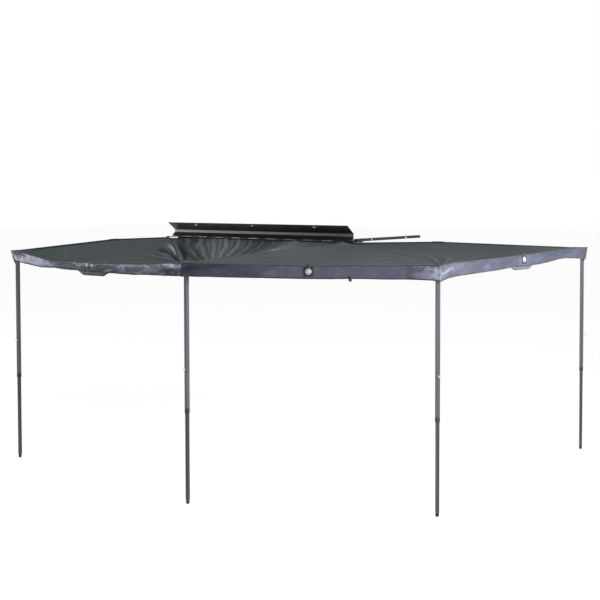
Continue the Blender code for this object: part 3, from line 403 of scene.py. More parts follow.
def balls_on_points(tree, given, points, ball, size, axis, way):
    """Ends a tree with a ball on each point, stretched to a size, one axis along its way, in the given finish."""
    size = add_node(tree, "ShaderNodeCombineXYZ", None, dict(zip("XYZ", size)))
    ball = add_node(tree, "GeometryNodeMeshUVSphere", None, ball)
    shape = add_node(tree, "GeometryNodeTransform", None, {"Geometry": ball.outputs[0], "Scale": size.outputs[0]})
    lean = add_node(tree, "FunctionNodeAlignRotationToVector", {"axis": axis}, {"Vector": way.outputs[0]})
    placed = add_node(tree, "GeometryNodeInstanceOnPoints", None, {
        "Points": points,
        "Instance": shape.outputs[0],
        "Rotation": lean.outputs[0],
    })
    real = add_node(tree, "GeometryNodeRealizeInstances", None, {"Geometry": placed.outputs[0]})
    made = add_node(tree, "GeometryNodeSetMaterial", None, {"Geometry": real.outputs[0], "Material": given["Finish"]})
    smooth = add_node(tree, "GeometryNodeSetShadeSmooth", None, {"Geometry": made.outputs[0]})
    add_node(tree, "NodeGroupOutput", None, {"Geometry": smooth.outputs[0]})
    return tree


def studs_tree():
    """A domed head on each point, standing along the point's own direction."""
    tree = node_tree("domed_heads", {
        "Radius": ("Float", 0.004),
        "Height": ("Float", 0.002),
        "Finish": ("Material", None),
    })
    given = add_node(tree, "NodeGroupInput").outputs
    flat = add_node(tree, "ShaderNodeMath", {"operation": "DIVIDE"}, {0: given["Height"], 1: given["Radius"]})
    head = {"Segments": 12, "Rings": 8, "Radius": given["Radius"]}
    way = add_node(tree, "GeometryNodeInputNamedAttribute", {"data_type": "FLOAT_VECTOR"}, {"Name": "way"})
    return balls_on_points(tree, given, given["Geometry"], head, (1.0, 1.0, flat.outputs[0]), "Z", way)


def grow(name, source, tree, values):
    """Runs a tree on a source mesh and keeps the result as a plain mesh object."""
    source = new_object(name + "_source", source)
    changed = source.modifiers.new("grow", "NODES")
    changed.node_group = tree
    for item in tree.interface.items_tree:
        if item.in_out == "INPUT" and item.name in values:
            changed[item.identifier] = values[item.name]
    source.update_tag()
    bpy.context.view_layer.update()
    seen = source.evaluated_get(bpy.context.evaluated_depsgraph_get())
    mesh = bpy.data.meshes.new_from_object(seen)
    mesh.name = name
    bpy.data.objects.remove(source, do_unlink=True)
    return new_object(name, mesh)


domed_heads = studs_tree()


def studs(name, places, radius, height, finish):
    """Domed heads at the places, each given as a point and the direction that it faces."""
    mesh = bpy.data.meshes.new(name)
    mesh.from_pydata([point for point, way in places], [], [])
    ways = mesh.attributes.new("way", "FLOAT_VECTOR", "POINT")
    for item, (point, way) in zip(ways.data, places):
        item.vector = way
    return grow(name, mesh, domed_heads, {"Radius": radius, "Height": height, "Finish": finish})


for number, arm in ARMS.items():
    left = arm_ways(number)[1]
    rows = [(arm["knuckle"] + shift, SADDLE_HALF, SADDLE_RIVET_LIFT) for shift in SADDLE_RIVETS]
    rows.append((arm["reach"] + ARM_OVERRUN - CAP_RIVET_INSET, ARM_SIDE, CAP_RIVET_LIFT))
    heads = []
    for along, half, lift in rows:
        for side in (-1, 1):
            heads.append((arm_point(number, along, side * (half + RIVET_GAP), lift), left * side))
    rivets = studs(f"arm_{number}_rivets", heads, RIVET_RADIUS, RIVET_HEIGHT, rivet_alloy)
    fasten(rivets, f"arm_{number}")

# Rear support bar. A square steel tube bolted on the hub bracket, which reaches across the vehicle's rear to
# steady the arms. Same coat as the brackets; a bolt crosses it, and a plastic plug closes its open end.

BAR = dict(x=-1.227, y=0.1078, z=0.1098, length=1.135, side=0.026)
BAR_BOLT = 0.855
BAR_BOLT_HEAD = ((0.0, 0.0105), (0.0008, 0.011), (0.0048, 0.011), (0.006, 0.0095))
BAR_BOLT_GAP = 0.0003
PLUG_GAP = 0.0002
PLUG_LENGTH = 0.0033
PLUG_CORNER = 0.0012
dress(bracket_coat, "rear_bar")


def turned_solid(bm, profile, centre, axis, sides):
    """A solid turned about an axis; its profile is given as distances along the axis and radii."""
    turn = Vector(axis).to_track_quat("Z", "Y").to_matrix()
    angles = [2 * math.pi * k / sides for k in range(sides)]
    loft(bm, [
        [Vector(centre) + turn @ Vector((radius * math.cos(a), radius * math.sin(a), along)) for a in angles]
        for along, radius in profile
    ])


bar_middle = BAR["z"] + BAR["side"] / 2
bm = bmesh.new()
for side in (-1, 1):
    face = BAR["x"] + side * (BAR["side"] / 2 + BAR_BOLT_GAP)
    turned_solid(bm, BAR_BOLT_HEAD, (face, BAR["y"] - BAR_BOLT, bar_middle), (side, 0, 0), 24)
fasten(mesh_piece("rear_bar_outer_bolt", bm, plated_steel, False), "root")

bm = bmesh.new()
plug_side = BAR["side"] - 2 * PLUG_GAP
plug_y = BAR["y"] - BAR["length"] - PLUG_GAP - PLUG_LENGTH / 2
plug_size = Matrix.Diagonal((plug_side, PLUG_LENGTH, plug_side, 1.0))
bmesh.ops.create_cube(bm, size=1.0, matrix=Matrix.Translation((BAR["x"], plug_y, bar_middle)) @ plug_size)
bmesh.ops.bevel(bm, geom=bm.edges[:], offset=PLUG_CORNER, segments=2, profile=0.5, affect="EDGES")
fasten(mesh_piece("rear_bar_end_plug", bm, moulded_black, False), "root")

# Legs. Telescopic legs of square anodised tube, hinged under each arm's end. The upper tube carries a spring
# button with a pull ring and ends in a moulded collar; the lower tube slides in it and stands on a plastic foot.

LEG_HALF = 0.014
LEG_UPPER = 1.140
LOCK_BELOW = 0.800
LEG_PIVOT_DROP = 0.0025
COLLAR_SHALLOW = LEG_HALF + 0.0004
COLLAR_PROFILE = (
    (LEG_HALF + 0.0001, 0.034),
    (LEG_HALF + 0.0007, 0.0335),
    (LEG_HALF + 0.0010, 0.004),
    (LEG_HALF + 0.0007, -0.001),
    (0.0124, -0.001),
    (0.0124, 0.0002),
)
COLLAR_CORNERS = ((-1, -0.86), (-0.86, -1), (0.86, -1), (1, -0.86), (1, 0.86), (0.86, 1), (-0.86, 1), (-1, 0.86))
BUTTON_PROFILE = ((0.0, 0.0062), (0.0012, 0.0062), (0.0018, 0.0048), (0.0030, 0.0040))
BUTTON_GAP = 0.0001


def anodised(name, colour, dark):
    """Grey anodised tube: drawn lines along it, rubbed corners, and a sheen that is uneven across the faces."""
    finish = Finish(name, 0.34, 0.75, 0.5)
    rubbed = finish.edges(0.0010) * finish.noise(30.0, 3.0, 0.6).over(0.35, 0.60)
    drawn = finish.noise(700.0, 2.0, 0.6, (1.0, 1.0, 0.01))
    bands = finish.noise(60.0, 2.0, 0.5, (1.0, 1.0, 0.02))
    scuffs = finish.noise(160.0, 3.0, 0.7, (1.0, 1.0, 0.15)).over(0.62, 0.74) * finish.noise(5.0).over(0.45, 0.6)
    tone = finish.blend(bands.over(0.35, 0.65), colour, dark)
    tone = finish.blend(scuffs * 0.5, tone, (0.22, 0.22, 0.23))
    tone = finish.blend(rubbed * 0.8, tone, (0.38, 0.38, 0.40))
    finish.raise_by(drawn, 0.00003)
    return finish.done(tone, drawn * 0.12 + scuffs * 0.15 + 0.27)


upper_grey = anodised("upper_tube_grey", (0.135, 0.136, 0.165), (0.095, 0.096, 0.116))
lower_grey = anodised("lower_tube_grey", (0.080, 0.081, 0.090), (0.058, 0.058, 0.066))



def collar_point(x, y, width, height):
    """A point round the tube; the collar is shallower on the root's side, where it lies against the folded arm."""
    deep = min(width, COLLAR_SHALLOW) if x < 0 else width
    return Vector((x * deep, y * width, height))


for number, arm in ARMS.items():
    dress(upper_grey, f"leg_{number}_upper_tube")
    dress(lower_grey, f"leg_{number}_lower_tube")
    dress(moulded_black, f"leg_{number}_foot")
    out = arm_ways(number)[0]
    turn = arm_turn(number)
    pivot = arm_point(number, arm["reach"], 0.0, -LEG_PIVOT_DROP)
    base = pivot - Vector((0, 0, LEG_UPPER))
    bm = bmesh.new()
    loft(bm, [
        [base + turn @ collar_point(x, y, width, height) for x, y in COLLAR_CORNERS]
        for width, height in COLLAR_PROFILE
    ], closed=True)
    collar = mesh_piece(f"leg_{number}_collar", bm, moulded_black, False)
    fasten(collar, f"leg_{number}")
    bm = bmesh.new()
    inner_face = pivot - Vector((0, 0, LOCK_BELOW)) - out * (LEG_HALF + BUTTON_GAP)
    turned_solid(bm, BUTTON_PROFILE, inner_face, -out, 18)
    button = mesh_piece(f"leg_{number}_button", bm, plated_steel, False)
    fasten(button, f"leg_{number}")

# Canopy. Four panels of dark ripstop, sewn into one continuous sheet that is stretched over the arms and hangs
# 100 mm over its outer edge. It is laced into the rails of the upper arms and the case, lies over the lower
# arms, and is slack between the case and arm 2, where folds fan out from the corner.

CLOTH = 0.002
CLOTH_GAP = 0.0010
CANOPY_START = 0.100
CANOPY_OVERHANG = 0.056
VALANCE_DROP = 0.100
EDGE_CURVE = 0.030
ARM_TOP = 0.014
FLAT_OVER_ARM = 0.0215
MOST_FLAT = 0.30
ON_ARM = (0.0, 0.5, 0.92)
SADDLE_REACH = 0.050
SADDLE_THICKNESS = 0.0025
CAP_RISE = 0.006
HUB_SWELL = dict(arm=2, height=0.022, along=0.17, width=0.07)
RAIL_GAP = 0.0045
RAIL_RISE = 0.004
POCKET_RISE = 0.0185
POCKET_FROM = 0.16
POCKET_TO = 0.06
LEVEL_STEP = 0.033
PANEL_SAG = 0.030
CREASE_SAG = 0.008
CASE_SAG = 0.035
CASE_LINE = (Vector((-1.085, 0.1553, 0.095)), Vector((1.140, 0.1868, 0.095)))
ROW_COUNTS = (6, 6, 6, 3, 3, 22, 22, 22, 22, 22)
LAST_ROW = len(ROW_COUNTS)
ACROSS = 200
FOLD_HEIGHT = 0.010
FOLD_EDGE = 0.06
FOLD_START = 0.12
VALANCE_ROWS = 12
UP = Vector((0, 0, 1))


def step(value, low, high):
    """0 up to low, 1 from high, and a smooth step between."""
    share = min(max((value - low) / (high - low), 0.0), 1.0)
    return share * share * (3 - 2 * share)


def stations(number):
    """Distances along an arm where the cloth changes its course; the saddle's ends and middle are among them."""
    arm = ARMS[number]
    knuckle = arm["knuckle"]
    tip = arm["reach"] + CANOPY_OVERHANG
    near = [CANOPY_START + (knuckle - SADDLE_REACH - CANOPY_START) * k / 3 for k in range(4)]
    first_far = knuckle + SADDLE_REACH
    return near + [knuckle] + [first_far + (tip - first_far) * k / 5 for k in range(6)]


def along_arm(number, row):
    """Distance along an arm at a row, which may lie between two stations."""
    places = stations(number)
    low = min(int(row), len(places) - 2)
    return places[low] + (places[low + 1] - places[low]) * (row - low)


def row_share(row):
    places = stations(2)
    return (along_arm(2, row) - places[0]) / (places[-1] - places[0])


def ridge_lift(number, along):
    """Height of the cloth over a lower arm's centre line: down from the hub to the saddle, then up a little."""
    arm = ARMS[number]
    over = ARM_TOP + CLOTH + CLOTH_GAP
    hub_lift = LEVEL_STEP + RAIL_RISE
    saddle_lift = over + SADDLE_THICKNESS
    if along < arm["knuckle"]:
        swell = math.exp(-(((along - HUB_SWELL["along"]) / HUB_SWELL["width"]) ** 2)) * HUB_SWELL["height"]
        slope = (saddle_lift - hub_lift) * along / arm["knuckle"]
        return hub_lift + slope + (swell if number == HUB_SWELL["arm"] else 0.0)
    share = min((along - arm["knuckle"]) / (arm["reach"] + ARM_OVERRUN - arm["knuckle"]), 1.0)
    return saddle_lift + (over + CAP_RISE - saddle_lift) * share


def ridge_edge(number, row):
    along = along_arm(number, row)
    return arm_point(number, along, 0.0, ridge_lift(number, along))


def rail_edge(number, side, row):
    """Cloth edge in the rail beside an upper arm; at the end it climbs over the arm as a pocket."""
    arm = ARMS[number]
    along = along_arm(number, row)
    climb = step(along, arm["reach"] - POCKET_FROM, arm["reach"] - POCKET_TO)
    cross = step(along, arm["reach"] - POCKET_TO, arm["reach"] + CANOPY_OVERHANG)
    across = (ARM_SIDE + RAIL_GAP) * (1.0 - 2.0 * cross)
    return arm_point(number, along, side * across, RAIL_RISE + (POCKET_RISE - RAIL_RISE) * climb)


def crease_edge(row):
    """Seam from the front pivot to the corner over arm 2, slack in the middle."""
    share = row_share(row)
    start, end = CASE_LINE[1], ridge_edge(2, LAST_ROW)
    leave = 1.0 - flat_share(2, end, start)
    leave_height = height_over_arm(2, start.lerp(end, leave))
    return sagging_point(start, end, share, 0.0, leave, start.z, leave_height, CREASE_SAG)


def sagging_point(a, b, w, low, high, near_z, far_z, sag):
    """A point across a panel: level on the arms' tops up to low and from high, and sagging between."""
    point = a.lerp(b, w)
    if w < low:
        point.z = a.z + (near_z - a.z) * w / low
    elif w > high and high < 1.0:
        point.z = far_z + (b.z - far_z) * (w - high) / (1.0 - high)
    else:
        inside = (w - low) / (high - low)
        point.z = near_z + (far_z - near_z) * inside - sag * math.sin(math.pi * inside)
    return point


def height_over_arm(number, point):
    arm = ARMS[number]
    out = arm_ways(number)[0]
    along = (point - Vector(arm["pin"])).dot(out)
    return arm["pin"][2] + arm_rise(number, along) + ridge_lift(number, along)


def flat_share(number, here, there):
    """Share of the way across where the cloth leaves the top of a lower arm."""
    width = abs((there - here).dot(arm_ways(number)[1]))
    return min(FLAT_OVER_ARM / max(width, FLAT_OVER_ARM), MOST_FLAT)


def soft_noise(x, y, seed):
    """A smooth value from about -1 to 1, the same on each run."""
    total = 0.0
    for k in range(4):
        a = 1.7 * k + seed * 2.3
        total += math.sin(x * (1.0 + 0.63 * k) + a + 1.3 * math.sin(y * (0.7 + 0.31 * k) + a * 1.9)) / (k + 1)
    return total / 2.08


CORNERS = {
    1: rail_edge(1, 1, LAST_ROW),
    2: ridge_edge(2, LAST_ROW),
    3: ridge_edge(3, LAST_ROW),
    4: rail_edge(4, -1, LAST_ROW),
}


PULL_FROM = 0.02
PULL_FULL = 0.12
PULL_REACH = 1.1
PULL_HEIGHT = 0.0065


def corner_pull(point, number, folds, seed):
    """Creases that radiate from a corner where the cloth is pulled, and fade with distance."""
    away = point.xy - CORNERS[number].xy
    distance = away.length
    if distance < PULL_FROM or distance > PULL_REACH:
        return 0.0
    angle = math.atan2(away.y, away.x)
    wave = math.cos(angle * folds + soft_noise(distance * 4.0, angle * 3.0, seed) * 1.5)
    crest = (0.5 + 0.5 * wave) ** 2 - 0.4
    fade = step(distance, PULL_FROM, PULL_FULL) * (1.0 - step(distance, PULL_REACH * 0.35, PULL_REACH))
    return PULL_HEIGHT * crest * fade


def sharp(wave, power):
    """A cosine turned into narrow crests with wide troughs, from 0 to 1."""
    return (0.5 + 0.5 * math.cos(wave)) ** power


# Each long fold: its direction, width at the corner, widening, height (less than 0 is a groove), start and end.
LONG_FOLDS = (
    (0.690, 0.012, 0.014, -0.046, 0.03, 2.00),
    (0.738, 0.012, 0.018, 0.030, 0.03, 2.60),
    (0.640, 0.014, 0.018, 0.018, 0.05, 1.60),
    (0.595, 0.008, 0.010, -0.014, 0.10, 1.50),
    (0.540, 0.012, 0.016, 0.013, 0.05, 1.80),
    (0.450, 0.010, 0.012, -0.009, 0.05, 1.10),
    (0.380, 0.012, 0.016, 0.010, 0.05, 1.40),
    (0.800, 0.014, 0.018, -0.028, 0.08, 2.60),
)
FOLD_FADE = 0.15
FOLD_BEND = 0.020


def long_folds(point):
    """The deep folds that run from the corner over arm 2 to the front pivot."""
    corner = CORNERS[2]
    away = Vector((point.x - corner.x, corner.y - point.y))
    distance = away.length
    angle = math.atan2(away.y, away.x)
    total = 0.0
    for turn, narrow, spread, height, start, end in LONG_FOLDS:
        beside = distance * math.sin(angle - turn + FOLD_BEND * (distance - 1.0))
        width = narrow + spread * distance
        fade = step(distance, start, start + FOLD_FADE) * (1.0 - step(distance, end * 0.55, end))
        total += height * math.exp(-((beside / width) ** 2)) * fade
    return total


GATHER_CENTRE = Vector((-1.90, 2.70))
SOFT_WAVE = 0.008
GATHER = 0.015
FINE_GATHER = 0.006
FRONT_WAVE = 0.007


def slack_folds(point):
    """The slack panel: narrow gathers that leave arm 2 aslant and fan out to the case, under long soft waves."""
    away = Vector((point.x - GATHER_CENTRE.x, GATHER_CENTRE.y - point.y))
    angle = math.atan2(away.y, away.x)
    distance = away.length
    wobble = soft_noise(distance * 1.6, angle * 9.0, 3.0)
    uneven = 0.75 + 0.55 * soft_noise(angle * 31.0, distance * 0.7, 8.0)
    near_front = 1.0 - 0.5 * step(angle, 0.80, 0.95)
    gathered = step(angle, 0.60, 0.70) * (1.0 - step(angle, 1.05, 1.30))
    wave = SOFT_WAVE * math.cos(angle * 23.0 + wobble)
    wave += GATHER * (sharp(angle * 150.0 + wobble * 3.4, 1.8) - 0.35) * gathered * max(uneven, 0.15) * near_front
    wave += FINE_GATHER * (sharp(angle * 313.0 + wobble * 3.1, 1.5) - 0.4) * gathered * step(distance, 1.4, 2.2)
    wave += FRONT_WAVE * (sharp(angle * 41.0 + wobble * 0.8, 2.4) - 0.3) * step(angle, 0.95, 1.15)
    return wave + long_folds(point)


CREASE_RUNS = 5
CREASE_WIDTH = 0.012


def small_creases(point, seed, height):
    """Low creases left by folding and packing, which cross the cloth in long straight runs."""
    total = 0.0
    for k in range(CREASE_RUNS):
        turn = seed * 1.1 + k * 0.83
        per_metre = 1.1 + 0.27 * k
        run = point.x * math.cos(turn) + point.y * math.sin(turn)
        cross = point.y * math.cos(turn) - point.x * math.sin(turn)
        place = run * per_metre + 0.12 * soft_noise(cross * 1.3, k, seed)
        nearest = abs(place - round(place)) / per_metre
        total += math.exp(-((nearest / CREASE_WIDTH) ** 2)) * (0.5 + 0.5 * soft_noise(cross * 2.1, run, seed + k))
    return height * total


def panel_rows(panel):
    """Points of a panel from the hub out, and for each its fold height plus the panel's tone, which paint light and
    shade on the cloth. Over a lower arm the cloth is level.
    """
    edges, arms = panel["edges"], panel["arms"]
    grid = []
    folds = []
    rows = [k + j / count for k, count in enumerate(ROW_COUNTS) for j in range(count)] + [LAST_ROW]
    for row_place in rows:
        s = row_share(row_place)
        a, b = edges[0](row_place), edges[1](row_place)
        low = flat_share(arms[0], a, b) if arms[0] else 0.0
        high = 1.0 - (flat_share(arms[1], b, a) if arms[1] else 0.0)
        width = (b - a).length
        shares = [low + (high - low) * k / ACROSS for k in range(ACROSS + 1)]
        if arms[0]:
            shares = [low * share for share in ON_ARM] + shares
        if arms[1]:
            shares = shares + [1.0 - (1.0 - high) * share for share in reversed(ON_ARM)]
        near_z = height_over_arm(arms[0], a.lerp(b, low)) if arms[0] else a.z
        far_z = height_over_arm(arms[1], a.lerp(b, high)) if arms[1] else b.z
        row = []
        painted_light_values = []
        for w in shares:
            point = sagging_point(a, b, w, low, high, near_z, far_z, panel["sag"](s))
            inside = (w - low) / (high - low)
            height = 0.0
            if 0.0 <= inside <= 1.0:
                free = step(min(inside, 1.0 - inside) * width, 0.0, FOLD_EDGE)
                height = panel["relief"](point, s) * step(s, 0.0, FOLD_START)
                point.z += height * free - (panel["droop"](inside, s) if "droop" in panel else 0.0)
            row.append(point)
            painted_light_values.append(height / FOLD_HEIGHT + panel.get("tone", 0.0))
        grid.append(row)
        folds.append(painted_light_values)
    return grid, folds


def pull_in(grid, amount):
    """The outer edge curves in between its corners, and the rows near it follow."""
    edge = grid[-1]
    start, end = edge[0].copy(), edge[-1].copy()
    inward = grid[0][0] - (start + end) / 2
    inward.z = 0.0
    inward.normalize()
    spread = ROW_COUNTS[-1]
    shares = [(point - start).length / (end - start).length for point in edge]
    for near, row in enumerate(grid[-spread - 1:]):
        for share, point in zip(shares, row):
            point += inward * amount * 4 * share * max(1 - share, 0.0) * near / spread


def run_lengths(line):
    """How far each point of a line is from its start, along the line."""
    runs = [0.0]
    for here, there in zip(line, line[1:]):
        runs.append(runs[-1] + (there - here).length)
    return runs


BULGE = 0.010
BULGE_EASE = 0.10
PATCH_CALM = 0.075
MOST_CRUSHED = 0.018
CRUSHED_TONE = 0.013
TUCK = 0.040
TUCK_REACH = 0.06
RIPPLE = 0.0016
# Each run of creases: its turn, creases per metre, stretch along them and share of the whole.
CRUMPLES = ((-0.30, 9.0, 0.16, 0.56), (0.20, 14.0, 0.18, 0.30), (-0.60, 27.0, 0.25, 0.14))


def crumple(run, drop, seed):
    """Crushed cloth: long thin creases that lean both ways, from about -1 in the hollows to 1 on the creases."""
    total = 0.0
    for turn, per_metre, longer, share in CRUMPLES:
        across = -run * math.sin(turn) + drop * VALANCE_DROP * math.cos(turn)
        ahead = run * math.cos(turn) + drop * VALANCE_DROP * math.sin(turn)
        spot = noise.noise(Vector((ahead * per_metre * longer + seed, across * per_metre, seed * 7.3 + per_metre)))
        total += share * (1.0 - 5.2 * min(abs(spot), 0.40))
    return max(total, -1.0)


def hang_valance(grid, folds, shape):
    """Rows hanging from the outer edge, with soft waves, crushed places, a deeper corner and a tucked end."""
    edge = [point.copy() for point in grid[-1]]
    start, end = edge[0], edge[-1]
    straight = (end - start).normalized()
    out = UP.cross(straight)
    if out.dot(start - grid[0][0]) < 0:
        out = -out
    span = (end - start).length
    seed = shape["seed"]
    arch_at, arch_height, arch_width = shape["arch"]

    def bumps(share, table):
        return sum(height * math.exp(-(((share - at) * span / width) ** 2)) for at, width, height in table)

    def near(share, at, reach):
        return math.exp(-abs(share - at) * span / reach)

    for k in range(1, VALANCE_ROWS + 1):
        drop = k / VALANCE_ROWS
        row = []
        painted_light_values = []
        for point in edge:
            share = (point - start).length / span
            run = share * span
            ends = min(share, 1.0 - share) * span
            away = BULGE * min(4 * share * max(1 - share, 0.0) + 0.25, 1.0) * min(drop * 2.2, 1.0) ** 0.6
            push = away * step(ends, 0.0, BULGE_EASE) + shape["waves"] * soft_noise(run * 7.0, drop * 1.5, seed) * drop
            calm = 1.0 - math.exp(-(((share - shape["patch"]) * span / PATCH_CALM) ** 4))
            crushed = min(bumps(share, shape["crushed"]), MOST_CRUSHED) * calm
            crushing = crumple(run, drop, seed)
            push += crushed * crushing * min(drop * 3.0, 1.0)
            push += RIPPLE * soft_noise(run * 30.0 + drop * 3.0, drop * 5.0, seed + 2.0)
            # Painted light and shade: the shape's light values, stronger on the creases, join the crushed creases'
            # heights in the cloth's colour.
            lit = shape["light"](share, drop) * calm * (0.75 + 0.45 * crushing)
            painted_light_values.append(crushed * crushing / CRUSHED_TONE + lit)
            deep = 1.0 + sum(extra * near(share, at, width) for at, width, extra in shape["deep"])
            lift = arch_height * math.exp(-(((share - arch_at) / arch_width) ** 2))
            tuck = sum((0.5 - at) * 2.0 * TUCK * near(share, at, TUCK_REACH) for at in shape["tucked"])
            place = point + out * push * step(ends, 0.0, 0.05) + straight * tuck * drop ** 1.5
            row.append(place - UP * (VALANCE_DROP * deep - lift) * drop)
        grid.append(row)
        folds.append(painted_light_values)
    return out


def turn_faces(bm, outward):
    """Turns a sheet's faces to its outward side."""
    bm.normal_update()
    if sum(face.normal.dot(outward) for face in bm.faces) < 0:
        bmesh.ops.reverse_faces(bm, faces=bm.faces)


def thicken(piece, thickness, offset):
    thick = piece.modifiers.new("thickness", "SOLIDIFY")
    thick.thickness = thickness
    thick.offset = offset


def cloth_mesh(name, grid, folds, hem_row):
    """One sheet from a grid of points, with a UV map in metres; below the hem's row it is the valance."""
    bm = bmesh.new()
    flat = bm.loops.layers.uv.new("cloth")
    # Each point's fold value: painted light and shade for the cloth's colour.
    raised = bm.verts.layers.float.new("fold")
    rows = [[bm.verts.new(point) for point in row] for row in grid]
    for row, painted_light_values in zip(rows, folds):
        for vert, height in zip(row, painted_light_values):
            vert[raised] = height
    edge = grid[hem_row]
    across = (edge[-1] - edge[0]).normalized()
    outwards = UP.cross(across)
    runs = run_lengths(edge)
    places = [[((point - edge[0]).dot(across), (point - edge[0]).dot(outwards)) for point in row] for row in grid]
    for k in range(hem_row + 1, len(grid)):
        places[k] = [(run, -VALANCE_DROP * (k - hem_row) / VALANCE_ROWS) for run in runs]
    for i, (near, far) in enumerate(zip(rows, rows[1:])):
        for k in range(len(near) - 1):
            corners = ((i, k), (i, k + 1), (i + 1, k + 1), (i + 1, k))
            face = bm.faces.new([rows[a][b] for a, b in corners])
            face.material_index = 1 if i >= hem_row else 0
            for loop, (a, b) in zip(face.loops, corners):
                loop[flat].uv = places[a][b]
    turn_faces(bm, UP)
    made = mesh_piece(name, bm, canopy_cloth)
    made.data.materials.append(valance_cloth)
    area = sum(face.area for face in made.data.polygons)
    thicken(made, CLOTH, -1.0)
    hanging = VALANCE_DROP if len(grid) > hem_row + 1 else 0.0
    return made, area, (runs[-1], abs((grid[0][0] - edge[0]).dot(outwards)) + hanging)


THREADS = 5200.0
RIPSTOP_RIBS = 780.0


def cloth(name, colour, pale, specular, roughness, grid_height):
    """Coated ripstop with a square grid of thicker threads; the fold value paints highlight on crests and shade in
    hollows.
    """
    finish = Finish(name, roughness, 0.0, specular, 0.0, "UV")
    across, down = finish.axis("X"), finish.axis("Y")
    threads = (across * THREADS).maths("SINE") * 0.5 + (down * THREADS).maths("SINE") * 0.5
    ribs, cross_ribs = ((way * RIPSTOP_RIBS).maths("COSINE").over(0.90, 0.995) for way in (across, down))
    ripstop = ribs.maths("MAXIMUM", cross_ribs)
    mottle = finish.noise(2.4, 5.0, 0.6)
    handled = finish.noise(9.0, 6.0, 0.7, warp=1.2).over(0.50, 0.72)
    packed = finish.noise(16.0, 3.0, 0.55, warp=2.5)
    creases = 1.0 - (packed - 0.5).maths("ABSOLUTE").over(0.0, 0.035)
    # Painted light and shade from the fold value: crests and high values are painted pale, hollows and low values
    # dark.
    fold = finish.level("Attribute", {"attribute_name": "fold"}, None, "Fac")
    crest = fold.over(0.10, 0.90)
    painted_hollow_shade = 1.0 - fold.over(-0.80, -0.05)
    shaded = 1.0 - fold.over(-2.40, -0.90)
    tone = finish.blend(mottle.over(0.32, 0.68), colour, shade(colour, 1.16))
    tone = finish.blend(handled * 0.22 + creases * 0.10, tone, pale)
    tone = finish.blend(ripstop * 0.22, tone, shade(colour, 0.72))
    # Painted highlight on crests, stronger where the value is high; painted shade in hollows, deeper where it is very
    # low.
    tone = finish.blend(crest * 0.55, tone, pale)
    tone = finish.blend(fold.over(1.1, 2.4) * 0.8, tone, shade(pale, 2.3))
    tone = finish.blend(painted_hollow_shade * 0.60, tone, shade(colour, 0.42))
    tone = finish.blend(shaded * 0.85, tone, shade(colour, 0.22))
    finish.raise_by(threads, 0.00003)
    finish.raise_by(ripstop, grid_height)
    finish.raise_by(creases, 0.0006)
    finish.raise_by(finish.noise(38.0, 3.0, 0.6, warp=0.8), 0.0012)
    gloss = mottle * 0.14 + handled * 0.08 + (roughness - 0.10)
    return finish.done(tone, gloss)


canopy_cloth = cloth("canopy_cloth", (0.072, 0.083, 0.088), (0.145, 0.162, 0.172), 0.10, 0.56, 0.00010)
valance_cloth = cloth("valance_cloth", (0.080, 0.083, 0.124), (0.27, 0.275, 0.35), 0.28, 0.33, 0.00012)

FOLDING = {
    "front": ("arm_1", "arm_1_swing", arm_ways(1)[1], ARMS[1]["pin"]),
    "case": ("root", "arm_2_swing", Vector((0, 1, 0)), (0.0, 0.165, 0.0)),
    "side": ("arm_2", "arm_2_swing", arm_ways(2)[1], ARMS[2]["pin"]),
    "rear": ("arm_3", "arm_2_swing", arm_ways(3)[1], ARMS[3]["pin"]),
}


def folds_with(piece, panel):
    """The piece rides with a panel's body and gets a mesh of its own."""
    body, joint, way, anchor = FOLDING[panel]
    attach(piece, body)
    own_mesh(piece)


TAUT_WAVE = 0.0022


def taut_relief(seed, height, near, far):
    """Relief of a stretched panel: low creases, and pull lines from its two outer corners."""
    def relief(point, s):
        value = small_creases(point, seed, height)
        value += TAUT_WAVE * soft_noise(point.x * 3.1, point.y * 2.7, seed)
        for number, folds in (near, far):
            value += corner_pull(point, number, folds, seed + number)
        return value
    return relief


def front_relief(point, s):
    return taut_relief(1.0, 0.0026, (2, 26.0), (1, 30.0))(point, s) + long_folds(point) * step(1 - s, 0.0, 0.03)


def case_relief(point, s):
    middle = step(s, 0.0, 0.25) * step(1 - s, 0.0, 0.05)
    return (slack_folds(point) + small_creases(point, 4.0, 0.0015)) * middle


def front_light(share, drop):
    """Painted light on the front valance: strong towards its far corner, and at the top of its near one."""
    near_corner = math.exp(-(((share - 0.05) / 0.07) ** 2)) * (1 - step(drop, 0.2, 0.6))
    return 2.8 * step(share, 0.62, 0.84) + 2.0 * near_corner


